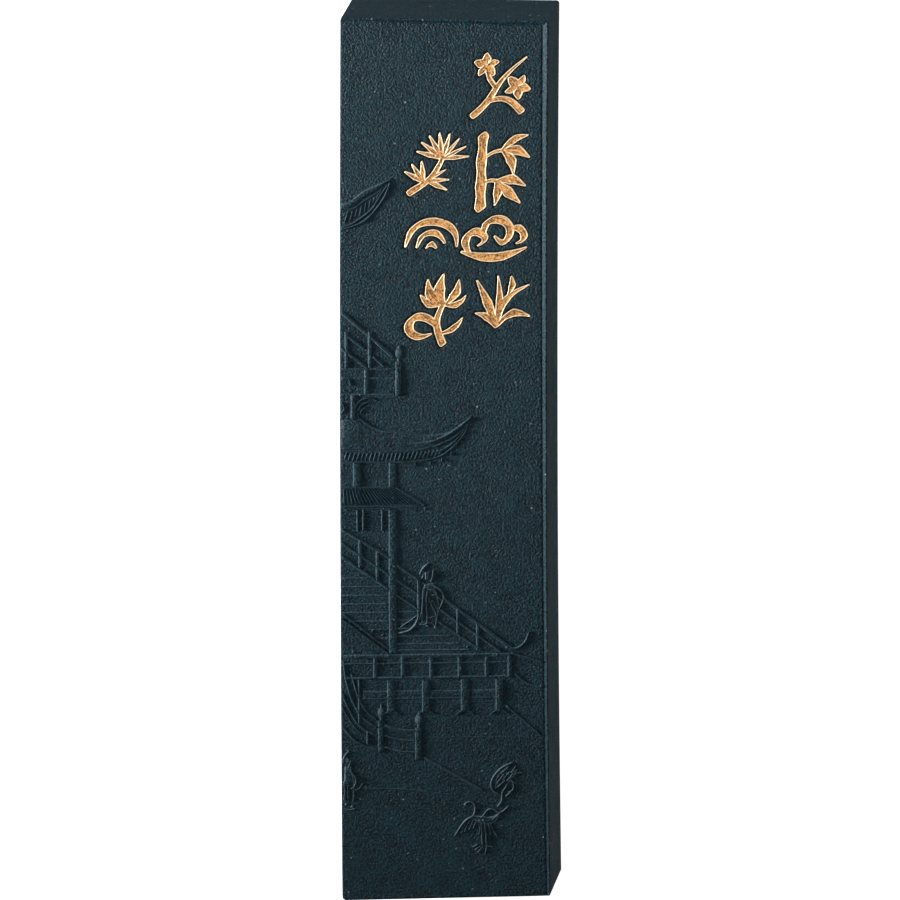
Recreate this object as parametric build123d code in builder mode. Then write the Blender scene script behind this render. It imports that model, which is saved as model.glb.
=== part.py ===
"""An oblong stick of pressed ink: a moulded block with a recessed picture panel and seven gilded marks.

Millimetres. The stick lies on its back: +Z is out of the picture face, +Y runs to the top end, and the
origin is under the middle of the block. Points of the picture are (across, up) in millimetres from the
lower left corner of the face.
"""

import os
from math import atan2, cos, degrees, radians, sin

from build123d import *

os.makedirs("parts", exist_ok=True)

# Block, of the five-cho class
BLOCK_LENGTH = 135.0
BLOCK_WIDTH = 31.0
BLOCK_THICKNESS = 14.0
CORNER_RADIUS = 0.6
BACK_EDGE_RADIUS = 0.5
FACE_EDGE_RADIUS = 0.25

# Recessed panel, open at the left side and at the foot, with a sloped wall at the right and the top
PANEL_DEPTH = 0.5
RIM_WIDTH = 0.2
WALL_RUN = 0.55
OPEN_OVERHANG = 3.0

# Moulded picture
HIGH_RELIEF = 0.35
LOW_RELIEF = 0.2
RELIEF_ROOT = 0.1

# Gilded marks: impressed pockets, part filled with gold
POCKET_DEPTH = 0.4
GILT_THICKNESS = 0.25

PANEL_HEIGHT = BLOCK_THICKNESS - PANEL_DEPTH
PANEL_WIDTH = BLOCK_WIDTH - RIM_WIDTH - WALL_RUN
PANEL_LENGTH = BLOCK_LENGTH - RIM_WIDTH - WALL_RUN
WALL_TAPER = degrees(atan2(WALL_RUN, PANEL_DEPTH))
FACE_CORNER = (-BLOCK_WIDTH / 2, -BLOCK_LENGTH / 2)
PANEL = Plane(origin=(*FACE_CORNER, PANEL_HEIGHT))


def bar(start, end, width):
    """Add a straight bar from start to end."""
    first, last = Vector(*start), Vector(*end)
    side = (last - first).normalized().rotate(Axis.Z, 90) * (width / 2)
    Polygon(first + side, first - side, last - side, last + side, align=None)


def brush(points, widths):
    """Add one stroke whose width swells and tapers along a smooth curve through the points."""
    with BuildLine() as spine:
        Spline(*points)
    steps = len(widths) - 1
    left, right = [], []
    for index, width in enumerate(widths):
        place = spine.line @ (index / steps)
        side = (spine.line % (index / steps)).rotate(Axis.Z, 90) * (width / 2)
        left.append(place + side)
        right.append(place - side)
    with BuildLine() as outline:
        Spline(*left)
        Line(left[-1], right[-1])
        Spline(*reversed(right))
        Line(right[0], left[0])
    make_face(outline.edges())


def line(points, width):
    """Add a stroke of one width along a smooth curve through the points."""
    brush(points, [width] * len(points))


def between(start, end, share):
    """Give the point at this share of the way from start to end."""
    return tuple(a + (b - a) * share for a, b in zip(start, end))


def ribs(upper, lower, count, width):
    """Add bars from an upper run to a lower run, each given by its two ends, spread evenly along both."""
    for index in range(count):
        share = (index + 0.5) / count
        bar(between(*upper, share), between(*lower, share), width)


def posts(places, foot, head, width):
    """Add upright bars centred at these places across the face."""
    for place in places:
        bar((place, foot), (place, head), width)


def newel(place, foot, neck, width):
    """Add a square newel with a bulb on a short neck."""
    bar((place, foot), (place, neck), width)
    bar((place, neck - 0.1), (place, neck + 0.6), width * 0.55)
    with Locations((place, neck + 1.25)):
        Ellipse(width * 0.55, 0.85)
    with Locations((place, neck + 2.1)):
        Ellipse(width * 0.2, 0.45)


def upper_roof():
    """Add the swept corner of the upper roof."""
    brush([(-0.5, 106.0), (1.4, 106.1), (4.2, 107.6), (7.5, 110.3)], [0.6, 0.6, 0.6, 0.2])
    line([(-0.5, 102.3), (3.4, 104.0), (6.3, 107.0), (7.4, 110.0)], 0.35)
    line([(-0.5, 103.1), (3.1, 104.8), (5.7, 107.2), (6.9, 109.4)], 0.25)


def upper_stair():
    """Add the upper stair: two rails, the stringer and two posts."""
    bar((-0.5, 90.9), (8.0, 83.5), 0.55)
    bar((0.8, 87.2), (4.4, 84.2), 0.45)
    bar((-0.5, 85.3), (4.2, 81.4), 0.6)
    posts([1.1, 4.5], 81.4, 87.0, 0.65)


def balcony():
    """Add the upper balcony, its newel and the bracket under it."""
    for height in (81.4, 80.0, 77.5):
        bar((-0.5, height), (8.2, height), 0.4)
    posts([3.9], 77.5, 81.4, 0.75)
    newel(8.7, 77.4, 82.5, 1.2)
    posts([2.0], 73.8, 77.3, 0.8)
    line([(4.4, 77.0), (3.0, 76.3), (2.6, 75.0), (3.1, 73.8)], 0.35)
    line([(4.9, 76.3), (3.9, 75.7), (3.6, 74.8), (3.9, 73.9)], 0.3)


def middle_roof():
    """Add the great roof: the ridge that sweeps up to its tip and the two lines of the eave."""
    brush(
        [(2.7, 74.0), (5.1, 72.4), (8.6, 71.6), (14.1, 71.4), (19.1, 73.6)],
        [0.5, 0.6, 0.6, 0.7, 0.3],
    )
    brush([(-0.5, 69.2), (8.7, 69.4), (14.2, 70.4), (18.8, 73.3)], [0.4, 0.4, 0.4, 0.25])
    brush([(-0.5, 67.3), (8.7, 67.4), (14.9, 68.7), (18.9, 73.2)], [0.45, 0.45, 0.45, 0.3])


def middle_storey():
    """Add the columns, the skirt roof's edges, the lattice frame and the corner column."""
    posts([2.5, 7.7], 63.1, 67.3, 1.2)
    bar((-0.5, 63.1), (8.6, 63.1), 0.35)
    bar((8.4, 63.2), (12.6, 60.1), 0.4)
    bar((-0.5, 60.1), (12.6, 60.1), 0.6)
    posts([2.9, 6.2], 56.7, 59.9, 0.8)
    posts([7.7], 37.2, 59.9, 1.3)


def left_stair():
    """Add the flight left of the corner column: its rails, posts and double stringer."""
    bar((0.2, 56.9), (7.3, 52.4), 0.5)
    bar((0.2, 54.8), (7.3, 50.1), 0.45)
    bar((-0.3, 53.2), (7.3, 47.2), 0.6)
    posts([2.85], 51.0, 55.2, 0.75)
    posts([5.3], 48.8, 53.6, 0.75)
    bar((-0.5, 44.4), (7.3, 38.1), 0.4)
    bar((-0.5, 43.6), (7.3, 37.3), 0.3)


def right_stair():
    """Add the flight right of the corner column: short rails, the long handrail and its posts."""
    bar((8.2, 51.5), (11.5, 48.9), 0.45)
    bar((8.2, 48.9), (11.5, 47.0), 0.4)
    bar((8.2, 46.6), (11.5, 44.3), 0.4)
    posts([11.5], 43.9, 49.0, 0.65)
    bar((15.3, 45.8), (25.3, 38.2), 0.55)
    bar((14.8, 43.7), (23.7, 37.2), 0.45)
    bar((14.7, 41.8), (20.4, 37.5), 0.4)
    posts([17.2], 40.3, 44.4, 0.65)
    posts([20.2], 37.6, 42.0, 0.65)
    brush([(25.2, 38.0), (26.4, 38.2), (27.5, 39.2), (27.9, 40.6)], [0.9, 0.7, 0.6, 0.3])


def terrace():
    """Add the terrace balustrade, its return to the right, the beams and the pillars under it."""
    bar((-0.5, 37.2), (25.6, 37.2), 0.75)
    bar((-0.5, 36.0), (25.6, 36.0), 0.35)
    bar((-0.5, 33.8), (25.6, 33.8), 0.45)
    posts([5.1, 9.2, 13.3, 17.5, 21.6, 25.1], 33.8, 37.2, 0.8)
    bar((25.4, 37.1), (30.0, 35.3), 0.5)
    bar((25.4, 34.1), (29.6, 31.6), 0.5)
    bar((3.4, 32.3), (22.8, 32.3), 0.35)
    bar((3.4, 30.4), (22.8, 30.4), 0.5)
    for place in (7.3, 12.5, 18.2, 23.5):
        bar((place, 28.6), (place, 33.6), 1.2)
        bar((place - 1.1, 28.4), (place + 1.1, 28.4), 0.5)
    bar((24.3, 29.4), (29.7, 24.4), 0.35)
    bar((12.4, 24.3), (29.9, 24.3), 0.25)


def garden_stair():
    """Add the curved garden stair at the foot of the terrace, its newels and sagging rails."""
    line([(0.2, 32.0), (1.4, 29.6), (2.8, 27.2), (5.6, 25.3)], 0.45)
    line([(2.6, 32.4), (3.6, 29.6), (5.5, 27.2)], 0.4)
    line([(-0.4, 26.6), (1.4, 24.9), (3.4, 23.3), (5.8, 22.2)], 0.5)
    posts([3.0], 28.0, 32.0, 0.4)
    posts([4.3], 23.2, 25.6, 0.4)
    newel(5.95, 22.1, 27.0, 1.1)
    newel(11.5, 20.8, 25.9, 1.2)
    for height in (26.1, 24.5, 22.6):
        line([(6.3, height), (8.6, height - 0.7), (11.1, height - 0.8)], 0.4)
    bar((12.5, 20.9), (20.8, 15.8), 0.3)


def walker():
    """Add the small robed walker on the stair."""
    with Locations((13.1, 50.5)):
        Circle(0.55)
    brush([(13.0, 49.8), (12.3, 47.2), (12.2, 44.4), (12.6, 42.0)], [0.7, 1.3, 1.2, 1.0])
    brush([(13.3, 49.6), (14.1, 47.4), (13.9, 44.6), (14.6, 42.2)], [0.7, 1.4, 1.1, 1.0])
    brush([(12.2, 43.6), (10.8, 42.7), (9.6, 41.2), (8.6, 40.8)], [0.6, 0.5, 0.4, 0.3])


def gardener():
    """Add the small robed figure at the left side."""
    with Locations((1.3, 21.2)):
        Circle(0.6)
    brush([(1.3, 20.4), (2.4, 18.4), (2.0, 16.4), (1.9, 13.8)], [0.8, 1.2, 1.0, 0.9])
    brush([(0.9, 20.2), (0.8, 18.0), (0.9, 15.8), (0.8, 13.8)], [0.6, 1.0, 0.8, 0.6])
    brush([(2.3, 18.0), (3.0, 17.0), (3.6, 17.6)], [0.5, 0.5, 0.3])


def flying_crane():
    """Add the crane on the wing."""
    brush([(22.6, 14.2), (24.2, 15.6), (25.5, 17.3), (26.4, 19.6)], [0.4, 1.2, 0.9, 0.2])
    brush([(24.4, 16.2), (23.2, 17.6), (22.6, 19.8)], [0.9, 1.1, 0.3])
    brush([(24.8, 16.0), (26.0, 15.6), (26.8, 14.2)], [0.8, 0.7, 0.2])


def dancing_crane():
    """Add the crane that stands with its wings spread."""
    brush([(18.3, 13.9), (18.4, 12.4), (19.4, 11.6), (20.8, 10.8), (22.4, 10.2)], [0.3, 0.3, 0.5, 1.7, 0.4])
    brush([(20.6, 11.6), (22.0, 13.2), (24.4, 13.2)], [0.8, 1.1, 0.2])
    brush([(20.2, 10.6), (18.8, 9.6), (17.2, 9.3)], [0.8, 1.0, 0.2])
    brush([(20.9, 10.2), (20.6, 8.2), (21.2, 6.4)], [0.35, 0.3, 0.3])
    brush([(21.4, 10.1), (22.0, 8.4), (21.8, 6.4)], [0.35, 0.3, 0.3])


def fine_lines():
    """Add what is lower than the rest: tiles, lattice lines, treads and ground lines."""
    ribs(((-0.2, 106.0), (6.9, 109.4)), ((-0.9, 102.7), (6.3, 107.3)), 9, 0.3)
    ribs(((0.2, 69.2), (9.0, 69.4)), ((-0.3, 67.3), (8.6, 67.4)), 15, 0.3)
    ribs(((9.5, 69.5), (17.2, 71.9)), ((9.2, 67.4), (16.8, 70.4)), 12, 0.3)
    ribs(((0.0, 63.1), (8.3, 63.1)), ((0.0, 60.3), (11.9, 60.3)), 20, 0.3)
    for index in range(5):
        height = 57.0 + 0.55 * index
        bar((-0.2, height), (7.3, height), 0.2)
    for index in range(7):
        height = 50.2 - 1.4 * index
        bar((max(-0.2, 5.2 * (index - 4) / 2), height), (7.3, height), 0.25)
    for index in range(5):
        height = 44.2 - 1.5 * index
        bar((8.2, height), (15.6, height), 0.25)
    bar((5.6, 16.4), (16.1, 15.4), 0.2)
    brush([(4.4, 41.1), (4.9, 41.7), (5.5, 41.2)], [0.4, 0.5, 0.4])
    brush([(5.7, 41.0), (6.2, 41.5), (6.7, 40.9)], [0.4, 0.5, 0.4])


def petals(centre, reach, width, turn):
    """Give the five strokes of a blossom."""
    strokes = []
    for index in range(5):
        angle = radians(turn + 72 * index)
        run = [(centre[0] + cos(angle) * r, centre[1] + sin(angle) * r) for r in (0.1, reach / 2, reach)]
        strokes.append((run, [0.3, width, width * 0.45]))
    return strokes


def needles(root, reach, first, last, count):
    """Give a fan of pine needles from one root."""
    strokes = []
    for index in range(count):
        angle = radians(first + (last - first) * index / (count - 1))
        run = [(root[0] + cos(angle) * r, root[1] + sin(angle) * r) for r in (0.0, reach / 2, reach)]
        strokes.append((run, [0.35, 0.6, 0.2]))
    return strokes


def stalk(foot, head, width):
    """Give one joint of a bamboo stalk, wider at its two ends."""
    return [foot, between(foot, head, 0.5), head], [width * 1.15, width * 0.9, width * 1.15]


PLUM_BRANCH = [
    ([(0.5, 0.6), (2.4, 2.6), (4.2, 5.4), (8.2, 9.4)], [1.2, 1.0, 0.8, 0.6, 0.3]),
    ([(2.4, 2.6), (5.0, 3.0), (7.4, 1.2)], [0.7, 0.7, 0.9]),
    ([(3.7, 4.7), (2.7, 6.2), (2.3, 7.9)], [0.6, 0.6, 0.4]),
    *petals((2.3, 8.1), 1.65, 1.15, 90),
    *petals((6.9, 4.9), 1.7, 1.2, 60),
]
BAMBOO = [
    stalk((1.0, 0.1), (1.1, 3.5), 1.2),
    stalk((1.15, 3.8), (1.2, 7.2), 1.15),
    stalk((1.25, 7.5), (1.5, 10.9), 1.1),
    ([(1.3, 7.3), (3.0, 8.5), (4.8, 8.9)], [0.5, 0.5, 0.5]),
    ([(4.3, 8.8), (6.0, 10.4), (8.2, 11.2)], [0.4, 1.3, 0.2]),
    ([(4.3, 8.8), (6.4, 8.9), (8.4, 7.8)], [0.4, 1.3, 0.2]),
    ([(4.3, 8.8), (5.6, 7.4), (6.0, 5.2)], [0.4, 1.2, 0.2]),
    ([(1.2, 3.6), (2.8, 4.2), (3.8, 4.0)], [0.5, 0.5, 0.5]),
    ([(3.4, 4.1), (5.6, 4.4), (7.8, 3.4)], [0.4, 1.3, 0.2]),
    ([(3.4, 4.1), (5.0, 2.6), (7.0, 0.8)], [0.4, 1.3, 0.2]),
    ([(3.4, 4.1), (3.6, 2.2), (3.2, 0.4)], [0.4, 1.1, 0.2]),
]
CLOUD = [
    ([(0.2, 1.3), (3.2, 0.6), (6.4, 0.7), (9.9, 2.0)], [0.3, 1.1, 1.2, 0.3]),
    ([(1.3, 1.2), (0.8, 3.0), (2.4, 4.4), (3.7, 3.4), (2.7, 2.3)], [0.5, 1.0, 1.1, 0.9, 0.3]),
    ([(3.5, 3.6), (4.1, 5.8), (6.3, 6.2), (7.5, 4.4), (6.3, 2.8), (5.2, 3.7)], [0.4, 1.0, 1.1, 1.0, 0.9, 0.3]),
    ([(7.3, 4.9), (9.0, 4.9), (9.6, 3.5), (8.5, 2.7)], [0.4, 0.9, 0.9, 0.3]),
]
ORCHID = [
    ([(3.1, 0.1), (1.9, 3.6), (0.3, 7.0)], [0.6, 1.1, 0.2]),
    ([(3.2, 0.1), (4.4, 3.8), (8.2, 6.4)], [0.6, 1.2, 0.2]),
    ([(3.4, 0.2), (5.6, 2.0), (8.3, 1.6)], [0.6, 1.2, 0.2]),
    ([(3.1, 0.2), (3.7, 4.2), (3.5, 7.7)], [0.5, 0.9, 0.2]),
    ([(2.9, 0.2), (1.5, 1.6), (0.1, 2.0)], [0.5, 0.9, 0.2]),
    ([(5.0, 4.9), (5.6, 6.2), (5.5, 7.6)], [0.3, 0.9, 0.3]),
]
PINE = [
    ([(0.4, 0.5), (3.2, 2.6), (5.0, 5.6)], [1.2, 0.9, 0.6]),
    *needles((5.0, 5.6), 3.9, 5, 165, 8),
    *needles((2.6, 2.2), 3.3, -25, 30, 3),
    *needles((2.2, 1.9), 3.2, 95, 150, 3),
]
WAVES = [
    ([(0.2, 0.5), (1.6, 3.4), (4.6, 4.3), (7.4, 2.8), (7.8, 0.6)], [0.3, 1.0, 1.0, 0.9, 0.3]),
    ([(1.9, 0.4), (3.0, 2.3), (4.8, 2.5), (6.0, 1.1)], [0.3, 0.8, 0.8, 0.3]),
    ([(3.3, 0.3), (4.0, 0.9), (4.7, 0.3)], [0.3, 0.7, 0.3]),
]
LOTUS = [
    ([(5.6, 6.2), (4.6, 3.4), (5.4, 0.1)], [0.7, 0.8, 0.9]),
    ([(5.6, 6.0), (5.0, 8.4), (5.6, 10.6)], [0.5, 1.4, 0.3]),
    ([(5.4, 6.0), (3.7, 7.6), (3.3, 9.8)], [0.5, 1.3, 0.2]),
    ([(5.8, 6.0), (7.3, 7.6), (7.9, 9.8)], [0.5, 1.3, 0.2]),
    ([(5.2, 6.0), (3.6, 6.1), (2.2, 7.4)], [0.4, 1.0, 0.2]),
    ([(6.0, 6.0), (7.6, 6.1), (8.9, 7.4)], [0.4, 1.0, 0.2]),
    ([(4.9, 2.2), (3.2, 3.9), (1.2, 3.9), (0.5, 2.2), (1.9, 1.1), (3.7, 1.5)], [0.5, 0.9, 1.1, 1.1, 0.9, 0.3]),
    ([(5.2, 1.6), (7.0, 2.4), (8.4, 4.0)], [0.4, 1.1, 0.2]),
]

# Each gilded mark, with the lower left corner of its place on the face
MARKS = {
    "gilt_plum_branch": (PLUM_BRANCH, (19.5, 119.8)),
    "gilt_bamboo": (BAMBOO, (19.8, 106.1)),
    "gilt_cloud": (CLOUD, (17.8, 98.0)),
    "gilt_orchid": (ORCHID, (20.0, 87.9)),
    "gilt_pine": (PINE, (10.2, 108.0)),
    "gilt_waves": (WAVES, (9.5, 99.6)),
    "gilt_lotus": (LOTUS, (9.7, 85.2)),
}


def draw_mark(strokes, corner):
    """Add a gilded mark's strokes, moved to its place on the face."""
    for points, widths in strokes:
        brush([(across + corner[0], up + corner[1]) for across, up in points], widths)


def panel_clip():
    """Keep only what lies on the flat of the panel."""
    across = (FACE_EDGE_RADIUS + PANEL_WIDTH) / 2
    up = (FACE_EDGE_RADIUS + PANEL_LENGTH) / 2
    with Locations((across, up)):
        Rectangle(PANEL_WIDTH - FACE_EDGE_RADIUS, PANEL_LENGTH - FACE_EDGE_RADIUS, mode=Mode.INTERSECT)


# The moulded block, with its panel, its picture and the pockets of its marks
with BuildPart() as ink_block:
    with BuildSketch():
        Rectangle(BLOCK_WIDTH, BLOCK_LENGTH)
    extrude(amount=BLOCK_THICKNESS)
    fillet(ink_block.edges().filter_by(Axis.Z), CORNER_RADIUS)
    fillet(ink_block.faces().sort_by(Axis.Z)[0].edges(), BACK_EDGE_RADIUS)
    with BuildSketch(Plane.XY.offset(BLOCK_THICKNESS)):
        with Locations((-(OPEN_OVERHANG + RIM_WIDTH) / 2, -(OPEN_OVERHANG + RIM_WIDTH) / 2)):
            Rectangle(BLOCK_WIDTH + OPEN_OVERHANG - RIM_WIDTH, BLOCK_LENGTH + OPEN_OVERHANG - RIM_WIDTH)
    extrude(amount=-PANEL_DEPTH, taper=WALL_TAPER, mode=Mode.SUBTRACT)
    panel_edges = ink_block.faces().filter_by(Plane.XY).group_by(Axis.Z)[1][0].edges()
    left_edges = panel_edges.filter_by(lambda edge: edge.center().X < -BLOCK_WIDTH * 0.4)
    fillet(left_edges + panel_edges.sort_by(Axis.Y)[:1], FACE_EDGE_RADIUS)

    with BuildSketch(PANEL.offset(-RELIEF_ROOT)) as high_lines:
        for feature in (
            upper_roof,
            upper_stair,
            balcony,
            middle_roof,
            middle_storey,
            left_stair,
            right_stair,
            terrace,
            garden_stair,
            walker,
            gardener,
            flying_crane,
            dancing_crane,
        ):
            feature()
        panel_clip()
    extrude(amount=RELIEF_ROOT + HIGH_RELIEF)
    with BuildSketch(PANEL.offset(-RELIEF_ROOT)) as low_lines:
        fine_lines()
        panel_clip()
    extrude(amount=RELIEF_ROOT + LOW_RELIEF)

    with BuildSketch(PANEL) as pockets:
        for strokes, corner in MARKS.values():
            draw_mark(strokes, corner)
    extrude(amount=-POCKET_DEPTH, mode=Mode.SUBTRACT)
ink_block.part.label = "ink_block"
export_step(ink_block.part, "parts/ink_block.step")

# The gold in each mark's pocket
for name, (strokes, corner) in MARKS.items():
    with BuildPart() as gilding:
        with BuildSketch(PANEL.offset(-POCKET_DEPTH)):
            draw_mark(strokes, corner)
        extrude(amount=GILT_THICKNESS)
    gilding.part.label = name
    export_step(gilding.part, f"parts/{name}.step")
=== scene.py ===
"""Looks of an oblong stick of pressed ink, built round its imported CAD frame.

Every size below is in millimetres and is turned to metres only where a mesh, light or camera is made.
Points of the moulded picture are (across, up) from the lower left corner of the face, as in the part's source.
"""

from __future__ import annotations

import logging
import math
from dataclasses import dataclass, field
from enum import Enum
from functools import cached_property
from typing import Sequence

import bmesh
import bpy
import numpy as np
from mathutils import Matrix, Vector


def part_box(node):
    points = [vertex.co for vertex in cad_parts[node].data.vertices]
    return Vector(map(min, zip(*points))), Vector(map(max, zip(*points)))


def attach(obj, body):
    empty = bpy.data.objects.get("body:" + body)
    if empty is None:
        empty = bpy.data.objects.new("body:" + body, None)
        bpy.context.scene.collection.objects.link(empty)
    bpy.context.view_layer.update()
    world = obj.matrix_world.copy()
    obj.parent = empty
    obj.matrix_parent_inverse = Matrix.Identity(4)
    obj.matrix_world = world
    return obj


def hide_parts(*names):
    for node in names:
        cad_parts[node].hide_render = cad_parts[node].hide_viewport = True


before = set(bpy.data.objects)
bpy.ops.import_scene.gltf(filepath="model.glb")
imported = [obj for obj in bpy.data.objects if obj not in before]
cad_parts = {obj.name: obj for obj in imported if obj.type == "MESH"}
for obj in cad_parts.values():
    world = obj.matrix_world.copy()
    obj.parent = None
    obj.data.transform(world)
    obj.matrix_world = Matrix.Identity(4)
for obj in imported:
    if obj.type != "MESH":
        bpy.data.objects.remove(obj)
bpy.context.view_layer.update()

MM = 0.001
BODY = "root"

Point = tuple[float, float]
Place = tuple[float, float, float]
Strokes = list[tuple[list[Point], list[float]]]

BLOCK_LOW, BLOCK_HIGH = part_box("ink_block")
BLOCK_WIDTH = (BLOCK_HIGH.x - BLOCK_LOW.x) / MM
BLOCK_LENGTH = (BLOCK_HIGH.y - BLOCK_LOW.y) / MM
BLOCK_THICKNESS = (BLOCK_HIGH.z - BLOCK_LOW.z) / MM

PANEL_DEPTH = 0.5
PANEL_HEIGHT = BLOCK_THICKNESS - PANEL_DEPTH
RIM_WIDTH = 0.2
WALL_RUN = 0.55
WALL_RUN_LEAST = 0.6
WALL_RUN_GROWTH = 0.7
OPEN_EDGE = 0.25
MARK_ROOM = 1.2


class Slot(Enum):
    """Names of the ink and the gold finishes."""

    INK = "pressed_ink"
    GOLD = "gold_paint"


def linear(colour: str) -> tuple[float, float, float, float]:
    """Turn an sRGB hex colour to linear.

    Args:
        colour: six hex digits after a hash.

    Returns:
        Red, green, blue and an alpha of one.
    """
    parts = [int(colour[i : i + 2], 16) / 255 for i in (1, 3, 5)]
    return (*(c / 12.92 if c <= 0.04045 else ((c + 0.055) / 1.055) ** 2.4 for c in parts), 1.0)


def add_node(tree: bpy.types.NodeTree, kind: str, inputs: dict | None = None, out: int | str = 0,
        **settings: object) -> bpy.types.NodeSocket | None:
    """Add a node with its settings and links.

    Args:
        tree: the tree that gets the node.
        kind: the node's type, without its prefix where that is ShaderNode.
        inputs: value or output socket for each input, by name or place.
        out: name or place of the wanted output.
        **settings: the node's own settings.

    Returns:
        The wanted output, or none for a node that has no outputs.
    """
    node = tree.nodes.new(kind if "Node" in kind else f"ShaderNode{kind}")
    for name, value in settings.items():
        setattr(node, name, value)
    for key, value in (inputs or {}).items():
        if isinstance(value, bpy.types.NodeSocket):
            tree.links.new(value, node.inputs[key])
        else:
            node.inputs[key].default_value = value
    return node.outputs[out] if node.outputs else None


def per_metre(size: float) -> float:
    """Give the pattern scale whose features are this many millimetres across."""
    return 1 / (size * MM)


def smooth_step(low: float, high: float, value: np.ndarray) -> np.ndarray:
    """Rise smoothly from 0 at low to 1 at high."""
    share = np.clip((value - low) / (high - low), 0, 1)
    return share * share * (3 - 2 * share)


def smooth_path(points: Sequence[Point], pitch: float) -> np.ndarray:
    """Sample a smooth curve through the points.

    Args:
        points: places that the curve runs through.
        pitch: distance between samples.

    Returns:
        Samples from the first point to the last.
    """
    knots = np.asarray(points, float)
    runs = np.linalg.norm(np.diff(knots, axis=0), axis=1)
    places = np.concatenate([[0], np.cumsum(runs)])
    count = len(knots)
    system, right = np.eye(count), np.zeros_like(knots)
    for i in range(1, count - 1):
        system[i, i - 1 : i + 2] = runs[i - 1], 2 * (runs[i - 1] + runs[i]), runs[i]
        right[i] = 6 * ((knots[i + 1] - knots[i]) / runs[i] - (knots[i] - knots[i - 1]) / runs[i - 1])
    bend = np.linalg.solve(system, right)
    along = np.linspace(0, places[-1], max(2, math.ceil(places[-1] / pitch) + 1))
    span = np.clip(np.searchsorted(places, along, side="right") - 1, 0, count - 2)
    after = ((along - places[span]) / runs[span])[:, None]
    before = 1 - after
    curve = (before**3 - before) * bend[span] + (after**3 - after) * bend[span + 1]
    return before * knots[span] + after * knots[span + 1] + curve * (runs[span] ** 2)[:, None] / 6


def left_normals(path: np.ndarray) -> np.ndarray:
    """Give the unit vector to the left of the path at each of its points."""
    tangent = np.gradient(path, axis=0)
    tangent /= np.linalg.norm(tangent, axis=1, keepdims=True)
    return np.column_stack([-tangent[:, 1], tangent[:, 0]])


@dataclass(frozen=True)
class DryingWarp:
    """Slight skew, taper and bow that the stick took on while it dried."""

    shear: float = 0.55
    skew: float = -0.36
    widening: float = 0.13
    taper: float = -0.1
    creep: float = 0.32
    settling: float = 1.5
    left_bow: float = 0.2
    right_bow: float = 0.4

    def bend(self, points: np.ndarray) -> np.ndarray:
        """Move points of the straight stick to where they lie on the dried one.

        Args:
            points: rows of x, y and z in the row frame.

        Returns:
            The moved rows.
        """
        across = points[:, 0] / (BLOCK_WIDTH / 2)
        along = points[:, 1] / (BLOCK_LENGTH / 2)
        moved = points.copy()
        low = np.clip(-along, 0, 1)
        bow = self.left_bow + (self.right_bow - self.left_bow) * (across + 1) / 2
        moved[:, 1] += (self.shear + self.skew * along) * across
        moved[:, 1] += self.creep * (1 - along**2) + self.settling * low**2 * (1 - low**6)
        moved[:, 0] += (self.widening + self.taper * along) * across
        moved[:, 0] -= bow * (1 - along**2) * across**2
        return moved


WARP = DryingWarp()


def on_face(points: np.ndarray, height: float | np.ndarray) -> np.ndarray:
    """Turn (across, up) points of the face to rows of x, y and z."""
    flat = np.asarray(points, float) - (BLOCK_WIDTH / 2, BLOCK_LENGTH / 2)
    return np.column_stack([flat, np.broadcast_to(height, len(flat))])


def plain_mesh(name: str, points: np.ndarray, faces: list, edges: Sequence = ()) -> bpy.types.Mesh:
    """Make a mesh from points in millimetres.

    Args:
        name: the mesh's name.
        points: rows of x, y and z.
        faces: corner lists, counter-clockwise from outside.
        edges: loose edges.

    Returns:
        The mesh, smooth shaded.
    """
    mesh = bpy.data.meshes.new(name)
    mesh.from_pydata((points * MM).tolist(), list(edges), faces)
    mesh.update()
    mesh.shade_smooth()
    return mesh


def store(mesh: bpy.types.Mesh, name: str, values: np.ndarray) -> None:
    """Store a number, or a vector, for each vertex under a name."""
    values = np.asarray(values, np.float32)
    kind, key = ("FLOAT", "value") if values.ndim == 1 else ("FLOAT_VECTOR", "vector")
    mesh.attributes.new(name, kind, "POINT").data.foreach_set(key, values.ravel())


def run_trees(mesh: bpy.types.Mesh, stages: Sequence[tuple[bpy.types.NodeTree, dict]]) -> bpy.types.Mesh:
    """Run node trees over a mesh, one after another.

    Args:
        mesh: what the first tree reads.
        stages: each tree with the values of its named inputs.

    Returns:
        The plain mesh that comes out of the last tree.
    """
    holder = bpy.data.objects.new("holder", mesh)
    bpy.context.scene.collection.objects.link(holder)
    for tree, values in stages:
        modifier = holder.modifiers.new(tree.name, "NODES")
        modifier.node_group = tree
        sockets = {s.name: s.identifier for s in tree.interface.items_tree if s.in_out == "INPUT"}
        for label, value in values.items():
            modifier[sockets[label]] = value
    bpy.context.view_layer.update()
    graph = bpy.context.evaluated_depsgraph_get()
    made = bpy.data.meshes.new_from_object(holder.evaluated_get(graph), preserve_all_data_layers=True, depsgraph=graph)
    holder.modifiers.clear()
    bpy.data.objects.remove(holder)
    return made


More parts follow.
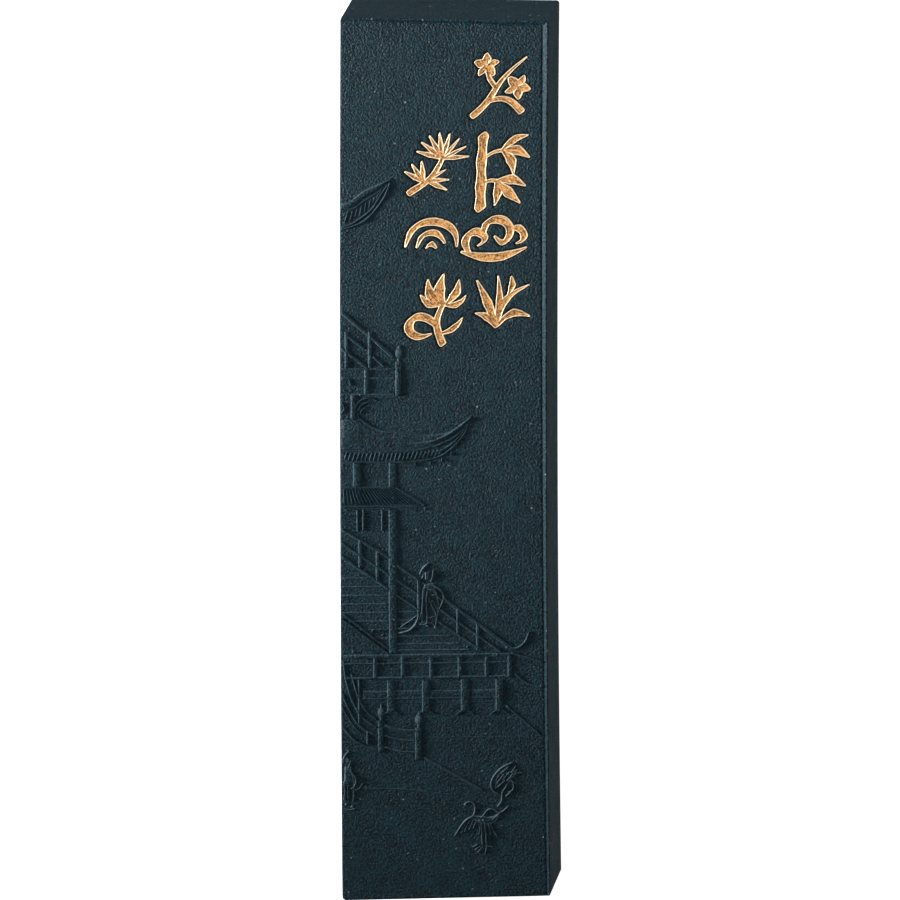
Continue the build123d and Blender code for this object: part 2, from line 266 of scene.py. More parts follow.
def join_meshes(name: str, meshes: Sequence[bpy.types.Mesh]) -> bpy.types.Mesh:
    """Join closed shells into one mesh whose faces point outwards, bent with the dried stick.

    Args:
        name: the joined mesh's name.
        meshes: what goes into it.

    Returns:
        The joined mesh, with the height share of its lines kept on its vertices.
    """
    shells = bmesh.new()
    for mesh in meshes:
        for label in [a.name for a in mesh.attributes if not (a.is_required or a.is_internal)]:
            if mesh.attributes[label].domain == "POINT" and label != "level":
                mesh.attributes.remove(mesh.attributes[label])
        shells.from_mesh(mesh)
    bmesh.ops.recalc_face_normals(shells, faces=shells.faces)
    joined = bpy.data.meshes.new(name)
    shells.to_mesh(joined)
    shells.free()
    points = np.zeros(len(joined.vertices) * 3, np.float32)
    joined.vertices.foreach_get("co", points)
    bent = WARP.bend(points.reshape(-1, 3) / MM) * MM
    joined.vertices.foreach_set("co", bent.astype(np.float32).ravel())
    joined.shade_smooth()
    joined.update()
    return joined


def add_piece(name: str, mesh: bpy.types.Mesh, material: bpy.types.Material,
        nodes: Sequence[str]) -> bpy.types.Object:
    """Put a finished mesh in the scene as a piece of the stick.

    Args:
        name: the piece's name.
        mesh: its mesh, already in place.
        material: its finish.
        nodes: the CAD nodes that it stands for.

    Returns:
        The piece.
    """
    piece = bpy.data.objects.new(name, mesh)
    bpy.context.scene.collection.objects.link(piece)
    mesh.materials.clear()
    mesh.materials.append(material)
    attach(piece, BODY)
    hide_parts(*nodes)
    logging.info("%s: %d faces", name, len(mesh.polygons))
    return piece


# Finishes


def blank_material(name: str) -> tuple[bpy.types.Material, bpy.types.NodeTree]:
    """Start a material, and give it with its empty node tree."""
    material = bpy.data.materials.new(name)
    material.use_nodes = True
    material.node_tree.nodes.clear()
    return material, material.node_tree


@dataclass(frozen=True)
class PressedInk:
    """Pine soot and hide glue, kneaded and pressed in a carved wooden mould, then dried for years.

    To the eye it is blue-black and matt with a low sheen, sandy from the mould's dusting powder, a little
    uneven in tone, with fine pits where air was trapped.
    """

    name: str = "pine soot ink, mould pressed"
    deep: str = "#010F15"
    bloom: str = "#092831"
    # Paler tone for the raised lines' shoulders: partly rubbed wear, partly painted highlight along the lit edges
    worn: str = "#2B3D45"
    # Painted shade colour for the pits and the margin beside the gilding
    pit_and_margin_shade: str = "#03080A"
    dust: str = "#8494A0"
    roughness: float = 0.5
    sheen_level: float = 0.13
    grain: float = 0.33
    grain_height: float = 0.27
    mottle: float = 2.4
    tone_band: tuple[float, float] = (0.44, 0.56)
    pit_spacing: float = 1.5
    dust_spacing: float = 1.7

    def make(self) -> bpy.types.Material:
        """Build the material."""
        material, tree = blank_material(self.name)
        place = add_node(tree, "TexCoord", out="Object")
        # Sandy skin left by the mould's dusting powder, and broad tone of uneven pressing and drying
        grain, mottle = (
            add_node(
                tree,
                "TexNoise",
                {"Vector": place, "Scale": per_metre(size), "Detail": detail, "Roughness": roughness},
                out="Fac",
            )
            for size, detail, roughness in ((self.grain, 2.0, 0.6), (self.mottle, 5.0, 0.65))
        )
        pits, dust = (add_node(tree, "TexVoronoi", {"Vector": place, "Scale": per_metre(spacing), "Randomness": spread},
            out="Distance") for spacing, spread in ((self.pit_spacing, 1.0), (self.dust_spacing, 0.9)))
        in_pit = add_node(tree, "MapRange", {"Value": pits, 1: 0.05, 2: 0.1, 3: 1.0, 4: 0.0},
            interpolation_type="SMOOTHSTEP")
        on_dust = add_node(tree, "MapRange", {"Value": dust, 1: 0.05, 2: 0.12, 3: 0.8, 4: 0.0})
        tone = add_node(tree, "Math", {0: grain, 1: 0.8}, operation="MULTIPLY")
        tone = add_node(tree, "Math", {0: mottle, 1: 0.2, 2: tone}, operation="MULTIPLY_ADD")
        blend = add_node(tree, "MapRange", {"Value": tone, 1: self.tone_band[0], 2: self.tone_band[1]})
        colour = add_node(tree, "Mix", {0: blend, 6: linear(self.deep), 7: linear(self.bloom)}, data_type="RGBA", out=2)
        # Dust sits in ragged specks, where the grain stands up
        speck = add_node(tree, "Math", {0: on_dust, 1: blend}, operation="MULTIPLY")
        colour = add_node(tree, "Mix", {0: speck, 6: colour, 7: linear(self.dust)}, data_type="RGBA", out=2)
        # Shoulders of the raised lines drawn paler: partly rubbed by handling, partly painted highlight standing in for
        # light along the lit edges
        level = add_node(tree, "Attribute", attribute_name="level", out="Fac")
        flank = add_node(tree, "MapRange", {"Value": level, 1: 0.35, 2: 0.75})
        crown = add_node(tree, "MapRange", {"Value": level, 1: 0.92, 2: 1.0, 3: 0.75, 4: 0.0})
        rubbed_highlit = add_node(tree, "Math", {0: flank, 1: crown}, operation="MULTIPLY")
        colour = add_node(tree, "Mix", {0: rubbed_highlit, 6: colour, 7: linear(self.worn)}, data_type="RGBA", out=2)
        # Painted shade: the ink drawn darker beside the gilding, where the pocket's edge would shade, and at the bottom
        # of each pit
        margin = add_node(tree, "Attribute", attribute_name="gilt_margin_shade", out="Fac")
        shade = add_node(tree, "Math", {0: margin, 1: in_pit}, operation="MAXIMUM")
        colour = add_node(tree, "Mix", {0: shade, 6: colour, 7: linear(self.pit_and_margin_shade)}, data_type="RGBA", out=2)
        gloss = add_node(tree, "MapRange", {"Value": mottle, 1: 0.3, 2: 0.7, 3: self.roughness - 0.07,
            4: self.roughness + 0.08})
        pressed = add_node(tree, "Bump", {"Height": mottle, "Distance": 0.12 * MM, "Strength": 1.0})
        sanded = add_node(tree, "Bump", {"Height": grain, "Distance": self.grain_height * MM, "Normal": pressed})
        holed = add_node(tree, "Bump", {"Height": in_pit, "Distance": 0.06 * MM, "Normal": sanded}, invert=True)
        shader = add_node(tree, "BsdfPrincipled", {"Base Color": colour, "Roughness": gloss,
            "Specular IOR Level": self.sheen_level, "Normal": holed})
        add_node(tree, "OutputMaterial", {"Surface": shader})
        return material


@dataclass(frozen=True)
class GoldPaint:
    """Gold powder in glue size, brushed into the impressed marks.

    To the eye it is an orange gold with a soft metallic sheen, streaked along each stroke, paler along the edges,
    partly where it has piled up and been burnished and partly as a painted highlight along the rim, and thin enough in
    places for the ink to darken it.
    """

    name: str = "gold powder paint, brushed"
    thin: str = "#452708"
    body: str = "#966226"
    thick: str = "#C29050"
    lip: str = "#EBD5B2"
    roughness: float = 0.42
    metallic: float = 0.35
    streak: float = 0.16
    streak_length: float = 1.4
    fleck: float = 0.3

    def make(self) -> bpy.types.Material:
        """Build the material."""
        material, tree = blank_material(self.name)
        place = add_node(tree, "TexCoord", out="Object")
        run = add_node(tree, "Attribute", attribute_name="stroke_run", out="Vector")
        edge = add_node(tree, "Attribute", attribute_name="edge", out="Fac")
        lanes = add_node(tree, "Mapping", {"Vector": run, "Scale": (1 / self.streak_length, 1 / self.streak, 1.0)})
        streaks = add_node(tree, "TexNoise", {"Vector": lanes, "Scale": 1.0, "Detail": 3.0, "Roughness": 0.6},
            out="Fac")
        flecks = add_node(tree, "TexNoise", {"Vector": place, "Scale": per_metre(self.fleck), "Detail": 3.0,
            "Roughness": 0.7}, out="Fac")
        both = add_node(tree, "Math", {0: streaks, 1: flecks}, operation="ADD")
        cover = add_node(tree, "MapRange", {"Value": both, 1: 0.84, 2: 1.16})
        ramp = add_node(tree, "ValToRGB", {"Fac": cover})
        stops = ramp.node.color_ramp.elements
        stops[0].position, stops[0].color = 0.08, linear(self.thin)
        stops[1].position, stops[1].color = 0.9, linear(self.thick)
        stops.new(0.42).color = linear(self.body)
        # Pale lip along each stroke's edge: partly paint piled up and burnished, partly painted highlight
        colour = add_node(tree, "Mix", {0: edge, 6: ramp, 7: linear(self.lip)}, data_type="RGBA", out=2)
        relief = add_node(tree, "Bump", {"Height": both, "Distance": 0.05 * MM, "Strength": 1.0})
        shader = add_node(tree, "BsdfPrincipled", {"Base Color": colour, "Roughness": self.roughness,
            "Metallic": self.metallic, "Normal": relief})
        add_node(tree, "OutputMaterial", {"Surface": shader})
        return material


@dataclass(frozen=True)
class PaleFloor:
    """Opal white light board, matt: an even, nearly white ground with no grain of its own."""

    name: str = "opal white board, matt"
    colour: str = "#FAFAF8"
    bounce: str = "#3A3A3A"
    glow: float = 1.0
    inner_colour: str = "#C6DCE7"
    inner_glow: float = 0.37

    def make(self) -> bpy.types.Material:
        """Build the material, which throws less light back on the stick than it shows."""
        material, tree = blank_material(self.name)
        white, grey = (
            add_node(
                tree,
                "BsdfPrincipled",
                {
                    "Base Color": linear(colour),
                    "Roughness": 1.0,
                    "Specular IOR Level": 0.0,
                    "Emission Color": linear(light),
                    "Emission Strength": glow,
                },
            )
            for colour, light, glow in (
                (self.colour, self.colour, self.glow),
                (self.bounce, self.inner_colour, self.inner_glow),
            )
        )
        seen = add_node(tree, "LightPath", out="Is Camera Ray")
        both = add_node(tree, "MixShader", {0: seen, 1: grey, 2: white})
        add_node(tree, "OutputMaterial", {"Surface": both})
        return material


# Geometry node trees


def new_tree(name: str, sockets: dict[str, str]) -> tuple[bpy.types.NodeTree, bpy.types.NodeOutputs]:
    """Start a geometry tree with named inputs.

    Args:
        name: the tree's name.
        sockets: kind of socket for each input after the geometry.

    Returns:
        The tree and the outputs of its input node.
    """
    tree = bpy.data.node_groups.new(name, "GeometryNodeTree")
    tree.interface.new_socket("Geometry", in_out="OUTPUT", socket_type="NodeSocketGeometry")
    tree.interface.new_socket("Geometry", in_out="INPUT", socket_type="NodeSocketGeometry")
    for label, kind in sockets.items():
        tree.interface.new_socket(label, in_out="INPUT", socket_type=f"NodeSocket{kind}")
    return tree, add_node(tree, "NodeGroupInput").node.outputs


def end_tree(tree: bpy.types.NodeTree, shape: bpy.types.NodeSocket,
        material: bpy.types.NodeSocket) -> bpy.types.NodeTree:
    """End a tree: the shape made real, in its material."""
    plain = add_node(tree, "GeometryNodeRealizeInstances", {0: shape})
    dressed = add_node(tree, "GeometryNodeSetMaterial", {"Geometry": plain, "Material": material})
    add_node(tree, "NodeGroupOutput", {0: dressed})
    return tree


@dataclass
class LineTree:
    """Geometry nodes that lay a moulded line along every path: sloped flanks, a soft shoulder, a flat crown.

    Each point of a path has a side vector, a half width and a height; each point of the section says which
    side it is on, how many flank runs it stands in from that side, and its share of the height.
    """

    section: tuple[Place, ...] = (
        (-1, 0.0, 0.0),
        (-1, 0.1, 0.45),
        (-1, 0.8, 0.9),
        (-1, 1.25, 1.0),
        (1, 1.25, 1.0),
        (1, 0.8, 0.9),
        (1, 0.1, 0.45),
        (1, 0.0, 0.0),
    )
    least_share: float = 0.12
    unevenness: float = 0.35
    unevenness_run: float = 1.6

    def make_section(self) -> bpy.types.Object:
        """Make the object that holds the line's section."""
        rows = np.array(self.section)
        count = len(rows)
        points = np.column_stack([rows[:, 0] * (2 - rows[:, 1]), np.zeros(count), rows[:, 2]])
        mesh = plain_mesh("line section", points, [], [(i, (i + 1) % count) for i in range(count)])
        for label, column in zip(("across", "inset", "level"), rows.T):
            store(mesh, label, column)
        return bpy.data.objects.new("line section", mesh)

    def build(self) -> bpy.types.NodeTree:
        """Build the tree."""
        tree, given = new_tree("moulded line", {"Section": "Object", "Flank Run": "Float", "Root Depth": "Float",
            "Material": "Material"})
        paths = add_node(tree, "GeometryNodeMeshToCurve", {0: given["Geometry"]})
        position = add_node(tree, "GeometryNodeInputPosition")
        paths = add_node(tree, "GeometryNodeStoreNamedAttribute", {"Geometry": paths, "Name": "centre",
            "Value": position}, data_type="FLOAT_VECTOR")
        shape = add_node(tree, "GeometryNodeObjectInfo", {"Object": given["Section"]}, out="Geometry")
        shape = add_node(tree, "GeometryNodeMeshToCurve", {0: shape})
        swept = add_node(tree, "GeometryNodeCurveToMesh", {"Curve": paths, "Profile Curve": shape, "Fill Caps": True})
        read = {
            label: add_node(
                tree,
                "GeometryNodeInputNamedAttribute",
                {"Name": label},
                data_type="FLOAT_VECTOR" if label in ("centre", "side") else "FLOAT",
            )
            for label in ("centre", "side", "half_width", "height", "across", "inset", "level")
        }
        noise = add_node(tree, "TexNoise", {"Vector": read["centre"], "Scale": per_metre(self.unevenness_run),
            "Detail": 1.0}, out="Fac")
        worn = add_node(tree, "MapRange", {"Value": noise, 1: 0.3, 2: 0.7, 3: 1 - self.unevenness,
            4: 1.0 + self.unevenness})
        values = {**read, "worn": worn, "flank run": given["Flank Run"], "root": given["Root Depth"]}
        for label, operation, *terms in (
            ("flank", "MULTIPLY", "inset", "flank run"),
            ("reach", "SUBTRACT", "half_width", "flank"),
            ("least", "MULTIPLY", "half_width", self.least_share),
            ("reach", "MAXIMUM", "reach", "least"),
            ("reach", "MULTIPLY", "reach", "across"),
            ("tall", "MULTIPLY_ADD", "height", "worn", "root"),
            ("lift", "MULTIPLY", "tall", "level"),
            ("lift", "SUBTRACT", "lift", "root"),
        ):
            inputs = {place: values.get(term, term) for place, term in enumerate(terms)}
            values[label] = add_node(tree, "Math", inputs, operation=operation)
        sideways = add_node(tree, "VectorMath", {0: read["side"], "Scale": values["reach"]}, operation="SCALE")
        upwards = add_node(tree, "CombineXYZ", {"Z": values["lift"]})
        moved = read["centre"]
        for step in (sideways, upwards):
            moved = add_node(tree, "VectorMath", {0: moved, 1: step}, operation="ADD")
        swept = add_node(tree, "GeometryNodeSetPosition", {"Geometry": swept, "Position": moved})
        return end_tree(tree, swept, given["Material"])


@dataclass
class RibTree:
    """Geometry nodes that spread straight paths evenly between two guide paths."""

    end_share: float = 0.35
    rib_points: int = 5

    def build(self) -> bpy.types.NodeTree:
        """Build the tree."""
        tree, given = new_tree("even ribs", {"Count": "Int", "Half Width": "Float", "Height": "Float"})
        guides = add_node(tree, "GeometryNodeMeshToCurve", {0: given["Geometry"]})
        flag = add_node(tree, "GeometryNodeInputNamedAttribute", {"Name": "guide"})
        is_lower = add_node(tree, "FunctionNodeCompare", {0: flag, 1: 0.5}, operation="GREATER_THAN")
        parted = add_node(tree, "GeometryNodeSeparateGeometry", {"Geometry": guides,
            "Selection": is_lower}).node.outputs
        seeds = add_node(tree, "GeometryNodePoints", {"Count": given["Count"]})
        line = add_node(tree, "GeometryNodeCurvePrimitiveLine")
        line = add_node(tree, "GeometryNodeResampleCurve", {"Curve": line, "Count": self.rib_points})
        lines = add_node(tree, "GeometryNodeInstanceOnPoints", {"Points": seeds, "Instance": line})
        lines = add_node(tree, "GeometryNodeRealizeInstances", {0: lines})
        index = add_node(tree, "GeometryNodeInputIndex")
        number = add_node(tree, "GeometryNodeFieldOnDomain", {0: index}, data_type="INT", domain="CURVE")
        share = add_node(tree, "Math", {0: number, 1: 0.5}, operation="ADD")
        share = add_node(tree, "Math", {0: share, 1: given["Count"]}, operation="DIVIDE")
        ends = [
            add_node(
                tree,
                "GeometryNodeSampleCurve",
                {"Curves": parted[part], "Factor": share},
                use_all_curves=True,
                mode="FACTOR",
                out="Position",
            )
            for part in ("Inverted", "Selection")
        ]
        along = add_node(tree, "GeometryNodeSplineParameter", out="Factor")
        spot = add_node(tree, "Mix", {0: along, 4: ends[0], 5: ends[1]}, data_type="VECTOR", out=1)
        lines = add_node(tree, "GeometryNodeSetPosition", {"Geometry": lines, "Position": spot})
        run = add_node(tree, "VectorMath", {0: ends[1], 1: ends[0]}, operation="SUBTRACT")
        side = add_node(tree, "VectorMath", {0: run, 1: (0, 0, 1)}, operation="CROSS_PRODUCT")
        side = add_node(tree, "VectorMath", {0: side}, operation="NORMALIZE")
        # A rib is lower and narrower at its two ends
        inward = add_node(tree, "Math", {0: along, 1: 0.5}, operation="SUBTRACT")
        inward = add_node(tree, "Math", {0: inward}, operation="ABSOLUTE")
        fade = add_node(tree, "MapRange", {"Value": inward, 1: 0.3, 2: 0.5, 3: 1.0, 4: self.end_share})
        for label, value in (("half_width", "Half Width"), ("height", "Height")):
            shaped = add_node(tree, "Math", {0: fade, 1: given[value]}, operation="MULTIPLY")
            lines = add_node(tree, "GeometryNodeStoreNamedAttribute", {"Geometry": lines, "Name": label,
                "Value": shaped})
        lines = add_node(tree, "GeometryNodeStoreNamedAttribute", {"Geometry": lines, "Name": "side", "Value": side},
            data_type="FLOAT_VECTOR")
        wires = add_node(tree, "GeometryNodeCurveToMesh", {"Curve": lines})
        add_node(tree, "NodeGroupOutput", {0: wires})
        return tree


@dataclass
class BossTree:
    """Geometry nodes that set a small rounded boss at every point, of the size stored there."""

    roundness: int = 2
    rubbed_highlit_level: float = 0.7

    def build(self) -> bpy.types.NodeTree:
        """Build the tree."""
        tree, given = new_tree("rounded bosses", {"Material": "Material"})
        ball = add_node(tree, "GeometryNodeMeshIcoSphere", {"Radius": 1.0, "Subdivisions": self.roundness})
        size = add_node(tree, "GeometryNodeInputNamedAttribute", {"Name": "boss_size"}, data_type="FLOAT_VECTOR")
        spots = add_node(tree, "GeometryNodeMeshToPoints", {"Mesh": given["Geometry"]})
        balls = add_node(tree, "GeometryNodeInstanceOnPoints", {"Points": spots, "Instance": ball, "Scale": size})
        # Bosses take the ink's paler shoulder tone: partly rubbed wear, partly painted highlight
        balls = add_node(tree, "GeometryNodeStoreNamedAttribute", {"Geometry": balls, "Name": "level",
            "Value": self.rubbed_highlit_level})
        return end_tree(tree, balls, given["Material"])


@dataclass
class CrumbTree:
    """Geometry nodes that scatter hard crumbs of ink over a surface."""

    seed: int = 11

    def build(self) -> bpy.types.NodeTree:
        """Build the tree."""
        tree, given = new_tree("scattered crumbs", {"Density": "Float", "Least": "Float", "Most": "Float",
            "Material": "Material"})
        spots = add_node(tree, "GeometryNodeDistributePointsOnFaces",
            {"Mesh": given["Geometry"], "Density": given["Density"], "Seed": self.seed})
        ball = add_node(tree, "GeometryNodeMeshIcoSphere", {"Radius": 1.0, "Subdivisions": 1})
        spread = add_node(tree, "FunctionNodeRandomValue", {2: given["Least"], 3: given["Most"], "Seed": self.seed + 1},
            data_type="FLOAT", out=1)
        squash = add_node(tree, "VectorMath", {0: (1.0, 1.5, 0.8), "Scale": spread}, operation="SCALE")
        turn = add_node(tree, "FunctionNodeRandomValue", {0: (0, 0, 0), 1: (0, 0, math.tau), "Seed": self.seed + 2},
            data_type="FLOAT_VECTOR")
        balls = add_node(tree, "GeometryNodeInstanceOnPoints", {"Points": spots, "Instance": ball, "Scale": squash,
            "Rotation": turn})
        return end_tree(tree, balls, given["Material"])


# Gilded marks


def petals(centre: Point, reach: float, width: float, turn: float) -> Strokes:
    """Give the five strokes of a blossom."""
    strokes = []
    for index in range(5):
        angle = math.radians(turn + 72 * index)
        run = [(centre[0] + math.cos(angle) * r, centre[1] + math.sin(angle) * r) for r in (0.1, reach / 2, reach)]
        strokes.append((run, [0.3, width, width * 0.45]))
    return strokes


def needles(root: Point, reach: float, first: float, last: float, count: int) -> Strokes:
    """Give a fan of pine needles from one root."""
    strokes = []
    for index in range(count):
        angle = math.radians(first + (last - first) * index / (count - 1))
        run = [(root[0] + math.cos(angle) * r, root[1] + math.sin(angle) * r) for r in (0.0, reach / 2, reach)]
        strokes.append((run, [0.35, 0.6, 0.2]))
    return strokes


def stalk(foot: Point, head: Point, width: float) -> tuple[list[Point], list[float]]:
    """Give one joint of a bamboo stalk, wider at its two ends."""
    middle = ((foot[0] + head[0]) / 2, (foot[1] + head[1]) / 2)
    return [foot, middle, head], [width * 1.15, width * 0.9, width * 1.15]


PLUM_BRANCH: Strokes = [
    ([(0.5, 0.6), (2.4, 2.6), (4.2, 5.4), (8.2, 9.4)], [1.2, 1.0, 0.8, 0.6, 0.3]),
    ([(2.4, 2.6), (5.0, 3.0), (7.4, 1.2)], [0.7, 0.7, 0.9]),
    ([(3.7, 4.7), (2.7, 6.2), (2.3, 7.9)], [0.6, 0.6, 0.4]),
    *petals((2.3, 8.1), 1.65, 1.15, 90),
    *petals((6.9, 4.9), 1.7, 1.2, 60),
]
BAMBOO: Strokes = [
    stalk((1.0, 0.1), (1.1, 3.5), 1.2),
    stalk((1.15, 3.8), (1.2, 7.2), 1.15),
    stalk((1.25, 7.5), (1.5, 10.9), 1.1),
    ([(1.3, 7.3), (3.0, 8.5), (4.8, 8.9)], [0.5, 0.5, 0.5]),
    ([(4.3, 8.8), (6.0, 10.4), (8.2, 11.2)], [0.4, 1.3, 0.2]),
    ([(4.3, 8.8), (6.4, 8.9), (8.4, 7.8)], [0.4, 1.3, 0.2]),
    ([(4.3, 8.8), (5.6, 7.4), (6.0, 5.2)], [0.4, 1.2, 0.2]),
    ([(1.2, 3.6), (2.8, 4.2), (3.8, 4.0)], [0.5, 0.5, 0.5]),
    ([(3.4, 4.1), (5.6, 4.4), (7.8, 3.4)], [0.4, 1.3, 0.2]),
    ([(3.4, 4.1), (5.0, 2.6), (7.0, 0.8)], [0.4, 1.3, 0.2]),
    ([(3.4, 4.1), (3.6, 2.2), (3.2, 0.4)], [0.4, 1.1, 0.2]),
]
CLOUD: Strokes = [
    ([(0.2, 1.3), (3.2, 0.6), (6.4, 0.7), (9.9, 2.0)], [0.3, 1.1, 1.2, 0.3]),
    ([(1.3, 1.2), (0.8, 3.0), (2.4, 4.4), (3.7, 3.4), (2.7, 2.3)], [0.5, 1.0, 1.1, 0.9, 0.3]),
    ([(3.5, 3.6), (4.1, 5.8), (6.3, 6.2), (7.5, 4.4), (6.3, 2.8), (5.2, 3.7)], [0.4, 1.0, 1.1, 1.0, 0.9, 0.3]),
    ([(7.3, 4.9), (9.0, 4.9), (9.6, 3.5), (8.5, 2.7)], [0.4, 0.9, 0.9, 0.3]),
]
ORCHID: Strokes = [
    ([(3.1, 0.1), (1.9, 3.6), (0.3, 7.0)], [0.6, 1.1, 0.2]),
    ([(3.2, 0.1), (4.4, 3.8), (8.2, 6.4)], [0.6, 1.2, 0.2]),
    ([(3.4, 0.2), (5.6, 2.0), (8.3, 1.6)], [0.6, 1.2, 0.2]),
    ([(3.1, 0.2), (3.7, 4.2), (3.5, 7.7)], [0.5, 0.9, 0.2]),
    ([(2.9, 0.2), (1.5, 1.6), (0.1, 2.0)], [0.5, 0.9, 0.2]),
    ([(5.0, 4.9), (5.6, 6.2), (5.5, 7.6)], [0.3, 0.9, 0.3]),
]
PINE: Strokes = [
    ([(0.4, 0.5), (3.2, 2.6), (5.0, 5.6)], [1.2, 0.9, 0.6]),
    *needles((5.0, 5.6), 3.9, 5, 165, 8),
    *needles((2.6, 2.2), 3.3, -25, 30, 3),
    *needles((2.2, 1.9), 3.2, 95, 150, 3),
]
WAVES: Strokes = [
    ([(0.2, 0.5), (1.6, 3.4), (4.6, 4.3), (7.4, 2.8), (7.8, 0.6)], [0.3, 1.0, 1.0, 0.9, 0.3]),
    ([(1.9, 0.4), (3.0, 2.3), (4.8, 2.5), (6.0, 1.1)], [0.3, 0.8, 0.8, 0.3]),
    ([(3.3, 0.3), (4.0, 0.9), (4.7, 0.3)], [0.3, 0.7, 0.3]),
]
LOTUS: Strokes = [
    ([(5.6, 6.2), (4.6, 3.4), (5.4, 0.1)], [0.7, 0.8, 0.9]),
    ([(5.6, 6.0), (5.0, 8.4), (5.6, 10.6)], [0.5, 1.4, 0.3]),
    ([(5.4, 6.0), (3.7, 7.6), (3.3, 9.8)], [0.5, 1.3, 0.2]),
    ([(5.8, 6.0), (7.3, 7.6), (7.9, 9.8)], [0.5, 1.3, 0.2]),
    ([(5.2, 6.0), (3.6, 6.1), (2.2, 7.4)], [0.4, 1.0, 0.2]),
    ([(6.0, 6.0), (7.6, 6.1), (8.9, 7.4)], [0.4, 1.0, 0.2]),
    ([(4.9, 2.2), (3.2, 3.9), (1.2, 3.9), (0.5, 2.2), (1.9, 1.1), (3.7, 1.5)], [0.5, 0.9, 1.1, 1.1, 0.9, 0.3]),
    ([(5.2, 1.6), (7.0, 2.4), (8.4, 4.0)], [0.4, 1.1, 0.2]),
]


